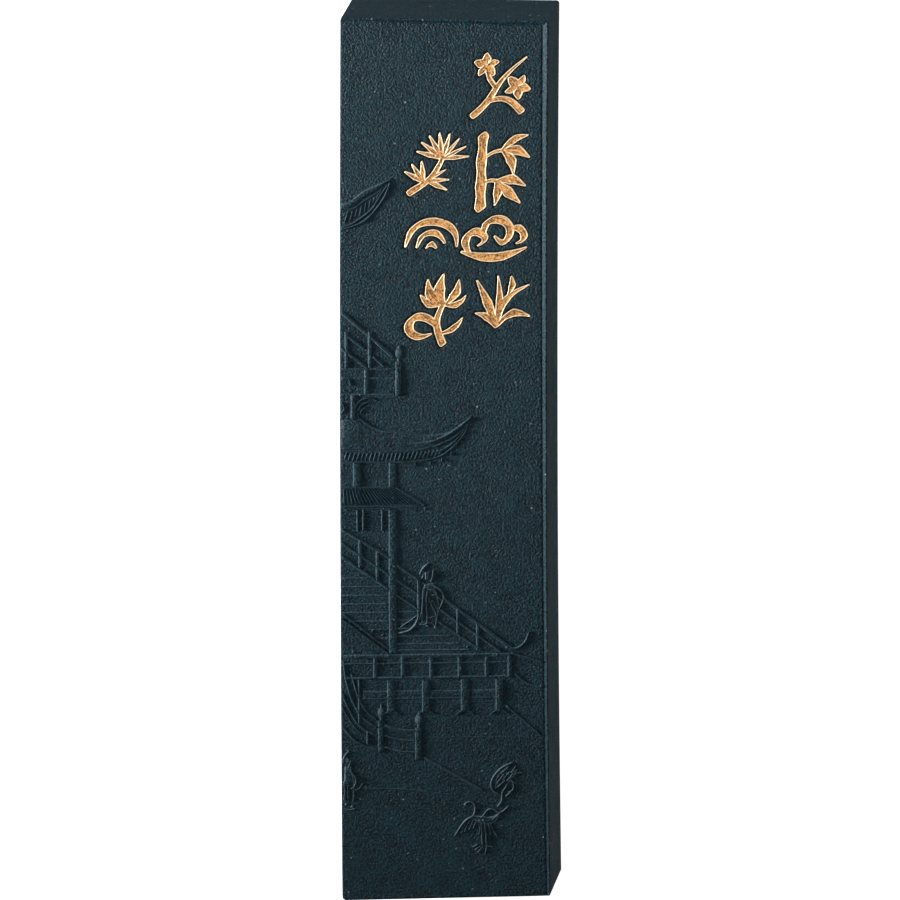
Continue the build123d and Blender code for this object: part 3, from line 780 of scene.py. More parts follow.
@dataclass
class GiltMark:
    """One impressed mark and the gold brushed into it, drawn with a flat slanted nib."""

    node: str
    strokes: Strokes
    corner: Point
    nib_turn: float = 38.0
    nib_long: float = 1.28
    nib_short: float = 0.78
    pitch: float = 0.08
    cell: float = 0.085
    lip_rise: float = 0.02
    channel_drop: float = 0.1
    base_drop: float = 0.38
    lip_band: tuple[float, float] = (0.05, 0.16)
    rounded_band: float = 0.06
    wave_height: float = 0.012
    least_cut: float = 0.004
    lane_gap: float = 3.7

    @cached_property
    def runs(self) -> list[tuple[np.ndarray, np.ndarray, np.ndarray]]:
        """Each stroke's samples, half widths and distances along it."""
        runs = []
        for points, widths in self.strokes:
            path = smooth_path([(a + self.corner[0], b + self.corner[1]) for a, b in points], self.pitch)
            share = np.linspace(0, 1, len(path))
            half = np.interp(share, np.linspace(0, 1, len(widths)), widths) / 2
            runs.append((path, half, share * self.pitch * len(path)))
        return runs

    def outside(self, points: np.ndarray) -> tuple[np.ndarray, np.ndarray]:
        """Measure points against the mark.

        Args:
            points: rows of (across, up).

        Returns:
            The distance outside the nearest stroke, negative inside it, and rows of place along that stroke,
            place across it and its number.
        """
        turn = math.radians(self.nib_turn)
        nib = np.array([[math.cos(turn), math.sin(turn)], [-math.sin(turn), math.cos(turn)]])
        nib /= np.array([[self.nib_long], [self.nib_short]])
        best = np.full(len(points), 1e3)
        lane = np.zeros((len(points), 3))
        for number, (path, half, along) in enumerate(self.runs):
            gap = points[:, None] - path[None]
            reach = np.sqrt(np.sqrt(((gap @ nib.T) ** 2 * (gap @ nib.T) ** 2).sum(2))) - half
            nearest = reach.argmin(1)
            value = reach[np.arange(len(points)), nearest]
            closer = value < best
            best[closer] = value[closer]
            side = (left_normals(path)[nearest] * gap[np.arange(len(points)), nearest]).sum(1)
            lane[closer] = np.column_stack([along[nearest], side, np.full(len(points), number * self.lane_gap)])[closer]
        return best, lane

    def measure(self, points: np.ndarray) -> tuple[np.ndarray, np.ndarray]:
        """Measure points as outside does, with distances made true by the slope of the nib's own."""
        step = 0.02
        value, lane = self.outside(points)
        near = np.abs(value) < 0.5
        across = (self.outside(points[near] + (step, 0))[0] - value[near]) / step
        up = (self.outside(points[near] + (0, step))[0] - value[near]) / step
        value[near] /= np.clip(np.hypot(across, up), 0.5, 1.6)
        return value, lane

    def box(self, margin: float) -> tuple[np.ndarray, np.ndarray]:
        """Give the lowest and highest corner of the mark's strokes, with room around them."""
        samples = np.vstack([path for path, _, _ in self.runs])
        return samples.min(0) - margin, samples.max(0) + margin

    def outline_cells(self, values: np.ndarray) -> tuple[np.ndarray, list[list[int]]]:
        """Cut the grid's cells along the mark's outline.

        Args:
            values: distance outside at each grid point, by column and row.

        Returns:
            Grid places of the vertices and the faces inside the outline.
        """
        places: list[tuple[float, float]] = []
        numbers: dict[tuple, int] = {}
        faces = []
        ring = ((0, 0), (1, 0), (1, 1), (0, 1))

        def number(key: tuple, place: tuple[float, float]) -> int:
            """Give the vertex's number, new or already made."""
            if key not in numbers:
                numbers[key] = len(places)
                places.append(place)
            return numbers[key]

        inside = values < 0
        touched = inside[:-1, :-1] | inside[1:, :-1] | inside[1:, 1:] | inside[:-1, 1:]
        for i, j in zip(*np.nonzero(touched)):
            corners = [(int(i) + a, int(j) + b) for a, b in ring]
            face = []
            for here, there in zip(corners, corners[1:] + corners[:1]):
                if inside[here]:
                    face.append(number((here,), here))
                if inside[here] != inside[there]:
                    first, last = sorted((here, there))
                    share = values[first] / (values[first] - values[last])
                    place = tuple(a + (b - a) * float(share) for a, b in zip(first, last))
                    face.append(number((first, last), place))
            faces.append(face)
        return np.array(places), faces

    def build(self, material: bpy.types.Material) -> bpy.types.Object:
        """Build the gold in the mark as a closed shell with a raised lip and a sunken channel.

        Args:
            material: the gold paint.

        Returns:
            The finished piece.
        """
        low, high = self.box(MARK_ROOM)
        columns, rows = (np.arange(a, b, self.cell) for a, b in zip(low, high))
        grid = np.stack(np.meshgrid(columns, rows, indexing="ij"), -1).reshape(-1, 2)
        values = self.measure(grid)[0].reshape(len(columns), len(rows))
        values = np.where(np.abs(values) < self.least_cut, -self.least_cut, values)
        places, faces = self.outline_cells(values)
        flat = low + places * self.cell
        depth, lane = self.measure(flat)
        depth = np.clip(-depth, 0, None)
        lip = 1 - smooth_step(*self.lip_band, depth)
        wave = self.wave_height * np.sin(flat[:, 0] * 9.1 + flat[:, 1] * 5.3)
        top = PANEL_HEIGHT + lip * self.lip_rise - (1 - lip) * (self.channel_drop + wave)
        top -= self.rounded_band * (1 - smooth_step(0.0, self.rounded_band, depth))
        count = len(flat)
        points = np.vstack([on_face(flat, top), on_face(flat, PANEL_HEIGHT - self.base_drop)])
        shell = [list(face) for face in faces] + [[count + v for v in reversed(face)] for face in faces]
        sides = {(a, b) for face in faces for a, b in zip(face, face[1:] + face[:1])}
        shell += [[b, a, a + count, b + count] for a, b in sides if (b, a) not in sides]
        mesh = plain_mesh(self.node, WARP.bend(points), shell)
        # The lip mask gets the gold's pale colour, partly a painted highlight
        store(mesh, "edge", np.tile(lip, 2))
        store(mesh, "stroke_run", np.tile(lane, (2, 1)))
        return add_piece(f"{self.node}_paint", mesh, material, [self.node])


MARKS = [
    GiltMark("gilt_plum_branch", PLUM_BRANCH, (19.5, 119.8)),
    GiltMark("gilt_bamboo", BAMBOO, (19.8, 106.1)),
    GiltMark("gilt_cloud", CLOUD, (17.8, 98.0)),
    GiltMark("gilt_orchid", ORCHID, (20.0, 87.9)),
    GiltMark("gilt_pine", PINE, (10.2, 108.0)),
    GiltMark("gilt_waves", WAVES, (9.5, 99.6)),
    GiltMark("gilt_lotus", LOTUS, (9.7, 85.2)),
]


# The block


@dataclass
class InkBlock:
    """The pressed block: rounded corners and edges, the sunken panel with its sloped wall, and the pockets."""

    inner_corner: float = 0.36
    crest_edge: float = 0.1
    back_edge: float = 0.5
    fine_pitch: float = 0.14
    marks_from: Point = (9.2, 84.2)
    marks_to: Point = (29.2, 131.0)
    pocket_depth: float = 0.34
    pocket_margin: float = 0.24
    swell: float = 0.025
    groove: float = 0.16
    groove_width: float = 0.13
    border: float = 1.2
    border_pitch: float = 0.09
    coarse_across: float = 0.55
    coarse_along: float = 0.8
    ripple: float = 0.02
    margin_shade_band: tuple[float, float] = (0.12, 0.38)
    turns: tuple[float, ...] = (30, 60, 90)

    def lines(self, extent: float, fine: tuple[float, float], coarse: float) -> np.ndarray:
        """Space the grid's lines along one side.

        Args:
            extent: the block's size that way.
            fine: where the marks begin and end.
            coarse: pitch away from marks, wall and corners.

        Returns:
            Places of the lines, from the open edge to the crest's.
        """
        end = extent - self.crest_edge
        stops = (
            (OPEN_EDGE, OPEN_EDGE + self.inner_corner, self.border_pitch),
            (OPEN_EDGE + self.inner_corner, fine[0], coarse),
            (*fine, self.fine_pitch),
            (fine[1], end - self.border, coarse),
            (end - self.border, end, self.border_pitch),
        )
        runs = [np.linspace(a, b, max(2, round((b - a) / pitch) + 1))[:-1] for a, b, pitch in stops]
        return np.concatenate([*runs, [end]])

    def wall(self, gap: np.ndarray, share: np.ndarray) -> np.ndarray:
        """Give the wall's height share at a distance in from the crest, with a groove along its foot."""
        run = WALL_RUN * (WALL_RUN_LEAST + WALL_RUN_GROWTH * share)
        fall = np.clip((gap - RIM_WIDTH) / run, 0, 1)
        groove = np.exp(-(((gap - RIM_WIDTH - run) / self.groove_width) ** 2))
        return 1 - (0.75 * fall + 0.25 * fall * fall * (3 - 2 * fall)) - self.groove * groove

    def surface(self, points: np.ndarray) -> tuple[np.ndarray, np.ndarray]:
        """Shape the picture face.

        Args:
            points: rows of (across, up).

        Returns:
            Height at each, and how much painted shade the ink beside the gilding gets.
        """
        across, up = points.T
        right = self.wall(BLOCK_WIDTH - across, up / BLOCK_LENGTH)
        top = self.wall(BLOCK_LENGTH - up, across / BLOCK_WIDTH)
        wall = np.where(np.maximum(right, top) > 0, np.maximum(right, top), np.minimum(right, top))
        height = PANEL_HEIGHT + PANEL_DEPTH * wall
        height += self.swell * (
            np.sin(across * 0.31 + up * 0.11 + 0.7) * np.sin(up * 0.19 - across * 0.13)
            + 0.5 * np.sin(up * 0.47 + across * 0.29)
        )
        height = np.minimum(height, BLOCK_THICKNESS)
        margin = np.zeros(len(points))
        for mark in MARKS:
            low, high = mark.box(MARK_ROOM)
            near = np.all((points > low) & (points < high), axis=1)
            gap = mark.measure(points[near])[0]
            sunk = 1 - smooth_step(-0.03, self.pocket_margin, gap)
            height[near] -= self.pocket_depth * sunk
            # Painted shade beside each pocket, standing in for the shade of its edge
            margin[near] = np.maximum(margin[near], 1 - smooth_step(*self.margin_shade_band, gap))
        return height, margin

    def round_corners(self, points: np.ndarray, low: np.ndarray, high: np.ndarray) -> np.ndarray:
        """Bend the square corners of the grid to quarter discs."""
        centre, half = (low + high) / 2, (high - low) / 2
        local = points - centre
        depth = (np.abs(local) - (half - self.inner_corner)) / self.inner_corner
        corner = np.all(depth > 0, axis=1)
        a, b = depth[corner].T
        disc = np.column_stack([a * np.sqrt(1 - b * b / 2), b * np.sqrt(1 - a * a / 2)])
        local[corner] = np.sign(local[corner]) * (half - self.inner_corner + self.inner_corner * disc)
        return local + centre

    def outline(self, columns: int, rows: int) -> np.ndarray:
        """Number the grid's outer vertices, counter-clockwise from the lower left."""
        grid = np.arange(columns * rows).reshape(columns, rows)
        return np.concatenate([grid[:-1, 0], grid[-1, :-1], grid[:0:-1, -1], grid[0, :0:-1]])

    def build(self, material: bpy.types.Material) -> bpy.types.Object:
        """Build the block as one closed shell.

        Args:
            material: the pressed ink.

        Returns:
            The finished piece.
        """
        xs = self.lines(BLOCK_WIDTH, (self.marks_from[0], self.marks_to[0]), self.coarse_across)
        ys = self.lines(BLOCK_LENGTH, (self.marks_from[1], self.marks_to[1]), self.coarse_along)
        flat = np.stack(np.meshgrid(xs, ys, indexing="ij"), -1).reshape(-1, 2)
        low, high = flat.min(0), flat.max(0)
        flat = self.round_corners(flat, low, high)
        height, margin = self.surface(flat)
        number = np.arange(len(flat)).reshape(len(xs), len(ys))
        quads = np.stack([number[:-1, :-1], number[1:, :-1], number[1:, 1:], number[:-1, 1:]], -1)
        faces = quads.reshape(-1, 4).tolist()

        loop = self.outline(len(xs), len(ys))
        edge, edge_height = flat[loop], height[loop]
        core = np.clip(edge, low + self.inner_corner, high - self.inner_corner)
        out = (edge - core) / self.inner_corner
        weight = np.abs(out) / np.abs(out).sum(1, keepdims=True)
        radius = (weight * np.where(out > 0, self.crest_edge, OPEN_EDGE)).sum(1)
        rings = []
        for turn in np.radians(self.turns):
            grown = edge + out * (radius * math.sin(turn))[:, None]
            rings.append((grown, edge_height - radius * (1 - math.cos(turn))))
        side = rings[-1][0]
        ripple = self.ripple * np.sin(np.arange(len(loop)) * 0.05)
        top = rings[-1][1]
        for share in (0.25, 0.5, 0.75, 1.0):
            level = top + (self.back_edge - top) * share
            bulge = (1 - abs(2 * share - 1)) * ripple
            rings.append((side - out * np.abs(bulge)[:, None], level))
        for turn in np.radians(self.turns):
            drawn = side - out * self.back_edge * (1 - math.cos(turn))
            rings.append((drawn, np.full(len(loop), self.back_edge * (1 - math.sin(turn)))))
        points = [on_face(flat, height)]
        previous = loop
        for place, level in rings:
            start = sum(len(p) for p in points)
            points.append(on_face(place, level))
            ring = np.arange(start, start + len(loop))
            faces += np.stack([previous, ring, np.roll(ring, -1), np.roll(previous, -1)], -1).tolist()
            previous = ring
        faces.append(previous[::-1].tolist())
        solid = np.vstack(points)
        mesh = plain_mesh("pressed_block", WARP.bend(solid), faces)
        store(mesh, "gilt_margin_shade", np.concatenate([margin, np.zeros(len(solid) - len(flat))]))
        return add_piece("pressed_block", mesh, material, ["ink_block"])


# The moulded picture


@dataclass(frozen=True)
class MouldLine:
    """One raised line: the places it runs through, its widths along it and its height."""

    points: Sequence[Point]
    widths: Sequence[float]
    height: float


@dataclass(frozen=True)
class RibField:
    """Even ribs from an upper guide to a lower one."""

    upper: Sequence[Point]
    lower: Sequence[Point]
    count: int
    width: float
    height: float


@dataclass
class Relief:
    """A part of the moulded picture: it collects raised lines, pads, ribs and bosses and builds them as one piece."""

    name: str = "relief"
    rail: float = 0.26
    fine: float = 0.17
    flank_run: float = 0.17
    root_depth: float = 0.1
    pitch: float = 0.1
    stride: int = 4
    pad_count: int = 160
    guide_pitch: float = 0.3
    end_width: float = 0.85
    end_height: float = 0.1
    lines: list[MouldLine] = field(default_factory=list)
    pads: list[tuple[Sequence[Point], Sequence[Point], float]] = field(default_factory=list)
    ribs: list[RibField] = field(default_factory=list)
    bosses: list[tuple[Point, Point, float]] = field(default_factory=list)
    # Built in the paler ink, whose shoulders are partly rubbed wear and partly painted highlight
    rubbed_highlit: bool = False

    def bar(self, start: Point, end: Point, width: float, height: float | None = None) -> None:
        """Add a straight bar."""
        self.lines.append(MouldLine([start, end], [width], height or self.rail))

    def line(self, points: Sequence[Point], width: float, height: float | None = None) -> None:
        """Add a curved line of one width."""
        self.lines.append(MouldLine(points, [width], height or self.rail))

    def brush(self, points: Sequence[Point], widths: Sequence[float], height: float | None = None) -> None:
        """Add a curved line that swells and tapers."""
        self.lines.append(MouldLine(points, widths, height or self.rail))

    def posts(self, places: Sequence[float], foot: float, head: float, width: float,
            height: float | None = None) -> None:
        """Add upright bars centred at these places across the face."""
        for place in places:
            self.bar((place, foot), (place, head), width, height)

    def newel(self, place: float, foot: float, neck: float, width: float) -> None:
        """Add a square newel with its receding side and a bulb on a short neck."""
        self.bar((place - 0.08, foot), (place - 0.08, neck), width * 0.8, self.rail * 1.15)
        self.bar((place + width * 0.46, foot), (place + width * 0.46, neck - 0.2), width * 0.2, self.fine)
        self.bar((place, neck - 0.3), (place, neck + 0.7), width * 0.45)
        self.boss((place, neck + 1.3), (width * 0.5, 0.85), 0.3)
        self.boss((place + 0.05, neck + 2.25), (width * 0.2, 0.45), 0.22)

    def boss(self, centre: Point, reach: Point, height: float) -> None:
        """Add a rounded boss of these half sizes and height."""
        self.bosses.append((centre, reach, height))

    def dots(self, places: Sequence[Point], radius: float = 0.17, height: float = 0.18) -> None:
        """Add small round bosses."""
        for place in places:
            self.boss(place, (radius, radius), height)

    def pad(self, upper: Sequence[Point], lower: Sequence[Point], height: float) -> None:
        """Add a low raised field between an upper and a lower outline."""
        self.pads.append((upper, lower, height))

    def draw(self) -> None:
        """Collect the lines of this part of the picture."""
        raise NotImplementedError

    def path_rows(self) -> tuple[list[np.ndarray], list[np.ndarray], list[np.ndarray], list[np.ndarray]]:
        """Turn lines and pads to paths on the panel.

        Returns:
            Points, side vectors, half widths and heights of each path.
        """
        rows: tuple[list, list, list, list] = ([], [], [], [])
        far = np.array([BLOCK_WIDTH - RIM_WIDTH - WALL_RUN * WALL_RUN_LEAST, BLOCK_LENGTH - RIM_WIDTH - WALL_RUN])
        drawn = []
        for item in self.lines:
            path = smooth_path(item.points, self.pitch)
            share = np.linspace(0, 1, len(path))
            half = np.interp(share, np.linspace(0, 1, len(item.widths)), item.widths) / 2
            drawn.append((path, left_normals(path), half, np.full(len(path), item.height)))
        for upper, lower, height in self.pads:
            count = self.pad_count
            ends = []
            for guide in (upper, lower):
                dense = smooth_path(guide, self.pitch / 2)
                ends.append(dense[np.linspace(0, len(dense) - 1, count).round().astype(int)])
            gap = ends[0] - ends[1]
            size = np.linalg.norm(gap, axis=1)
            drawn.append(((ends[0] + ends[1]) / 2, gap / size[:, None], size / 2, np.full(count, height)))
        for path, side, half, tall in drawn:
            keep = np.nonzero(np.all((path >= OPEN_EDGE) & (path <= far), axis=1))[0]
            if len(keep) < 3:
                continue
            keep = keep[np.unique(np.append(np.arange(0, len(keep), self.stride), len(keep) - 1))]
            path, side, half, tall = path[keep], side[keep], half[keep], tall[keep]
            slope = min(self.pitch, np.linalg.norm(path[-1] - path[0]) / 4)
            lead = (path[0] - path[1]) / np.linalg.norm(path[0] - path[1]) * slope
            tail = (path[-1] - path[-2]) / np.linalg.norm(path[-1] - path[-2]) * slope
            rows[0].append(np.vstack([path[0] + lead, path, path[-1] + tail]))
            rows[1].append(np.vstack([side[0], side, side[-1]]))
            rows[2].append(np.concatenate([[half[0] * self.end_width], half, [half[-1] * self.end_width]]))
            rows[3].append(np.concatenate([[tall[0] * self.end_height], tall, [tall[-1] * self.end_height]]))
        return rows

    def line_mesh(self, kit: MouldKit) -> bpy.types.Mesh:
        """Build the lines and pads through the line tree."""
        paths, sides, halves, heights = self.path_rows()
        edges, start = [], 0
        for path in paths:
            edges += [(start + i, start + i + 1) for i in range(len(path) - 1)]
            start += len(path)
        mesh = plain_mesh("paths", on_face(np.vstack(paths), PANEL_HEIGHT), [], edges)
        flat = np.vstack(sides)
        store(mesh, "side", np.column_stack([flat, np.zeros(len(flat))]))
        store(mesh, "half_width", np.concatenate(halves) * MM)
        store(mesh, "height", np.concatenate(heights) * MM)
        return run_trees(mesh, [(kit.line_tree, self.line_inputs(kit))])

    def line_inputs(self, kit: MouldKit) -> dict:
        """Give the values of the line tree's inputs."""
        return {"Section": kit.section, "Flank Run": self.flank_run * MM, "Root Depth": self.root_depth * MM,
            "Material": kit.ink}

    def rib_mesh(self, kit: MouldKit, ribs: RibField) -> bpy.types.Mesh:
        """Build one field of ribs through the rib tree and the line tree."""
        guides = [smooth_path(guide, self.guide_pitch) for guide in (ribs.upper, ribs.lower)]
        split = len(guides[0])
        edges = [(i, i + 1) for i in range(split + len(guides[1]) - 1) if i != split - 1]
        mesh = plain_mesh("guides", on_face(np.vstack(guides), PANEL_HEIGHT), [], edges)
        store(mesh, "guide", np.repeat([0.0, 1.0], [split, len(guides[1])]))
        sizes = {"Count": ribs.count, "Half Width": ribs.width / 2 * MM, "Height": ribs.height * MM}
        return run_trees(mesh, [(kit.rib_tree, sizes), (kit.line_tree, self.line_inputs(kit))])

    def boss_mesh(self, kit: MouldKit) -> bpy.types.Mesh:
        """Build the bosses through the boss tree."""
        centres = np.array([centre for centre, _, _ in self.bosses])
        mesh = plain_mesh("bosses", on_face(centres, PANEL_HEIGHT), [])
        sizes = np.array([(*reach, height) for _, reach, height in self.bosses])
        store(mesh, "boss_size", sizes * MM)
        return run_trees(mesh, [(kit.boss_tree, {"Material": kit.ink})])

    def build(self, kit: MouldKit) -> bpy.types.Object:
        """Build this part of the picture.

        Args:
            kit: the trees, the section and the ink.

        Returns:
            The finished piece.
        """
        self.draw()
        meshes = [self.line_mesh(kit)] + [self.rib_mesh(kit, ribs) for ribs in self.ribs]
        if self.bosses:
            meshes.append(self.boss_mesh(kit))
        finish = kit.rubbed_highlit_ink if self.rubbed_highlit else kit.ink
        return add_piece(self.name, join_meshes(self.name, meshes), finish, ["ink_block"])


@dataclass
class MouldKit:
    """What every part of the moulded picture is built with."""

    ink: bpy.types.Material
    rubbed_highlit_ink: bpy.types.Material
    line_tree: bpy.types.NodeTree
    rib_tree: bpy.types.NodeTree
    boss_tree: bpy.types.NodeTree
    section: bpy.types.Object


@dataclass
class UpperRoof(Relief):
    """Swept corner of the upper roof: ridge, tiles and double eave."""

    name: str = "upper_roof"
    tile_width: float = 0.24

    def draw(self) -> None:
        """Collect the roof's lines."""
        self.brush([(-0.5, 106.4), (1.4, 106.45), (3.0, 107.7), (4.8, 108.85), (7.5, 110.4)], [0.9, 0.9, 0.85, 0.2])
        for drawn in (
            ([(0.2, 105.65), (1.6, 105.7), (3.4, 106.9), (5.2, 108.1), (7.1, 109.8)], 0.22, self.fine),
            ([(-0.5, 102.5), (2.5, 103.4), (4.3, 104.6), (5.7, 106.3), (6.7, 107.9), (7.4, 109.9)], 0.36, 0.28),
            ([(-0.5, 102.95), (1.5, 103.4), (3.2, 104.5), (4.6, 105.7), (6.0, 107.9), (7.1, 109.5)], 0.26),
        ):
            self.line(*drawn)
        self.ribs.append(RibField([(0.9, 105.4), (2.0, 105.7), (3.6, 106.8), (5.2, 107.8), (6.6, 109.2)],
            [(0.3, 103.3), (1.3, 103.8), (2.7, 104.5), (4.4, 105.9), (5.9, 108.2)], 9, self.tile_width, 0.16))
        self.dots([(0.45, 102.1), (0.9, 102.15)])


@dataclass
class UpperStair(Relief):
    """Upper stair: two sloping rails, the stringer and two posts."""

    name: str = "upper_stair"
    post_width: float = 0.65

    def draw(self) -> None:
        """Collect the stair's lines."""
        for drawn in (
            ((-0.5, 90.75), (7.9, 83.2), 0.5),
            ((1.3, 86.3), (3.7, 84.4), 0.4),
            ((4.9, 83.3), (6.5, 81.8), 0.4),
            ((-0.5, 85.1), (4.1, 81.5), 0.5),
        ):
            self.bar(*drawn)
        self.posts([1.05, 4.45], 81.5, 87.0, self.post_width)
        self.bar((1.4, 84.1), (1.9, 82.6), 0.25)


@dataclass
class Balcony(Relief):
    """Upper balcony: its rails, posts and newel, and the scrolled bracket under it."""

    name: str = "balcony"
    rail_width: float = 0.4

    def draw(self) -> None:
        """Collect the balcony's lines."""
        for height in (81.4, 80.0, 77.5):
            self.bar((-0.5, height), (8.0, height), self.rail_width)
        self.posts([3.95], 77.5, 81.4, 0.75)
        self.newel(8.7, 77.3, 82.4, 1.2)
        self.posts([2.0], 73.8, 77.3, 0.8)
        for drawn in (
            ([(5.6, 76.6), (3.9, 76.95), (2.4, 75.8), (2.25, 74.6)], 0.28),
            ([(4.2, 76.3), (3.3, 76.0), (2.75, 75.1)], 0.25),
            ([(3.9, 75.5), (3.2, 75.1), (3.1, 74.6)], 0.22),
            ([(3.8, 73.2), (3.0, 73.6), (2.65, 74.4)], 0.25),
            ([(0.3, 74.6), (0.7, 75.4), (0.4, 76.2)], 0.25),
        ):
            self.line(*drawn)
        self.bar((1.4, 79.8), (1.7, 78.9), 0.25)
        self.dots([(0.65, 78.1), (1.6, 78.1), (7.2, 77.9), (0.5, 81.9), (6.0, 82.6)], 0.15)


@dataclass
class GreatRoof(Relief):
    """Great roof: the broad slope, the ridge that sweeps to its tip, the tile band and its eaves."""

    name: str = "great_roof"
    tile_count: int = 24

    def draw(self) -> None:
        """Collect the roof's lines."""
        self.pad(
            [(0.3, 73.6), (2.4, 73.6), (4.2, 72.6), (7.9, 71.8), (10.9, 71.5), (13.6, 71.4), (16.2, 71.8),
                (19.0, 73.5)],
            [(0.3, 69.15), (3.0, 69.15), (6.0, 69.2), (9.5, 69.3), (12.4, 69.6), (14.6, 70.4), (17.0, 71.8),
                (19.0, 73.4)],
            0.17,
        )
        for drawn in (
            ([(3.0, 73.7), (4.6, 72.55), (8.2, 71.75), (12.6, 71.5)], [0.35, 0.35, 0.3, 0.2]),
            ([(8.2, 69.95), (11.2, 70.05), (13.6, 70.4), (15.4, 71.05)], [0.3, 0.5, 0.5, 0.3], 0.24),
            ([(13.6, 70.35), (15.4, 71.1), (17.1, 72.15), (19.3, 74.0)], [0.3, 0.55, 0.5, 0.25], 0.34),
        ):
            self.brush(*drawn)
        for drawn in (
            ([(-0.5, 68.9), (6.0, 68.95), (11.5, 69.1), (13.2, 69.4)], 0.22),
            ([(-0.5, 67.15), (6.0, 67.15), (12.3, 67.4), (14.9, 68.15), (17.0, 69.8), (18.4, 71.6), (19.1, 73.3)], 0.3),
            ([(12.6, 68.6), (14.5, 68.8), (16.5, 70.0), (18.1, 71.7), (18.9, 73.1)], 0.26),
            ([(13.8, 69.5), (15.4, 70.2), (17.0, 71.1), (18.5, 72.5)], 0.24),
        ):
            self.line(*drawn)
        self.ribs.append(RibField([(0.75, 68.7), (11.8, 68.8), (15.4, 69.2)],
            [(0.35, 67.4), (11.2, 67.5), (14.8, 68.3)], self.tile_count, 0.32, 0.2))
        for place, height in ((11.1, 66.75), (13.3, 66.95), (15.0, 67.45), (16.4, 68.4)):
            self.bar((place, height - 0.25), (place, height + 0.25), 0.26)


@dataclass
class Storey(Relief):
    """Storey under the great roof: columns, fanned skirt roof, lattice and the tall corner column."""

    name: str = "storey"
    column_width: float = 1.2
    skirt_count: int = 20

    def draw(self) -> None:
        """Collect the storey's lines."""
        self.posts([2.5, 7.75], 63.4, 67.0, self.column_width)
        self.bar((-0.5, 63.35), (8.6, 63.35), 0.28)
        self.dots([(0.5, 66.6), (5.7, 66.6)], 0.14)
        self.ribs.append(RibField([(0.4, 63.1), (8.5, 63.0)], [(0.4, 60.6), (12.0, 60.6)], self.skirt_count, 0.3, 0.18))
        for drawn in (
            ((8.3, 63.2), (12.4, 60.5), 0.34),
            ((-0.5, 60.38), (12.4, 60.38), 0.3),
            ((-0.5, 60.02), (12.5, 60.02), 0.26),
        ):
            self.bar(*drawn)
        self.boss((12.5, 60.0), (0.3, 0.22), 0.24)
        self.dots([(0.95, 59.75)])
        for index in range(5):
            height = 56.95 + 0.52 * index
            self.bar((-0.2, height), (7.2, height), 0.2, self.fine)
        self.posts([2.6, 3.45, 6.2], 56.7, 59.7, 0.4)
        self.posts([7.72], 37.5, 59.8, 1.25, 0.28)


@dataclass
class LeftStair(Relief):
    """Flight left of the corner column: rails, posts, treads and the double string."""

    name: str = "left_stair"
    tread_pitch: float = 1.34
    tread_count: int = 9

    def draw(self) -> None:
        """Collect the flight's lines."""
        for drawn in (
            ((0.2, 56.85), (7.2, 52.45), 0.45),
            ((0.2, 54.75), (7.2, 49.75), 0.42),
            ((-0.3, 53.0), (7.2, 47.5), 0.5),
        ):
            self.bar(*drawn)
        self.posts([3.0], 50.9, 55.2, 0.7)
        self.posts([5.5], 48.9, 53.4, 0.62)
        for index in range(self.tread_count):
            height = 49.3 - self.tread_pitch * index
            start = max(0.3, (43.6 - height) / 0.86)
            self.bar((start, height), (min(7.1, (52.2 - height) / 0.7), height), 0.4, 0.13)
        self.bar((-0.5, 44.5), (7.15, 38.15), 0.34)
        self.bar((-0.5, 43.7), (7.15, 37.45), 0.28)
        self.dots([(4.7, 41.1), (5.7, 41.1), (1.9, 37.8)], 0.2)
        self.line([(4.6, 40.9), (5.0, 41.4), (5.5, 41.2), (6.0, 41.4), (6.4, 40.9)], 0.22)
        self.line([(5.2, 40.3), (5.9, 40.2), (6.3, 40.5)], 0.2)


@dataclass
class RightStair(Relief):
    """Flight right of the corner column: short rails, treads, the long handrail and its scroll."""

    name: str = "right_stair"
    post_width: float = 0.6

    def draw(self) -> None:
        """Collect the flight's lines."""
        for drawn in (
            ((8.3, 51.2), (11.5, 48.95), 0.4),
            ((8.3, 48.9), (11.5, 46.8), 0.36),
            ((8.3, 46.6), (11.5, 44.4), 0.36),
        ):
            self.bar(*drawn)
        self.posts([11.55], 43.8, 49.1, self.post_width)
        for height, end in ((44.0, 11.2), (42.7, 11.4), (41.4, 10.6), (40.2, 16.2), (39.0, 17.6), (38.0, 19.0)):
            self.bar((8.4, height), (end, height), 0.4, 0.13)
        for drawn in (
            ((15.2, 45.95), (25.1, 38.35), 0.5),
            ((14.7, 44.3), (23.8, 37.6), 0.42),
            ((14.5, 42.35), (20.8, 37.9), 0.38),
        ):
            self.bar(*drawn)
        self.posts([17.35], 40.6, 44.4, self.post_width)
        self.posts([20.3], 38.0, 42.0, self.post_width)
        self.brush([(24.6, 38.5), (25.6, 38.05), (26.8, 38.45), (27.6, 39.35), (28.05, 40.6)],
            [0.6, 0.6, 0.5, 0.45, 0.3], 0.32)
        self.dots([(18.7, 38.4)], 0.2)


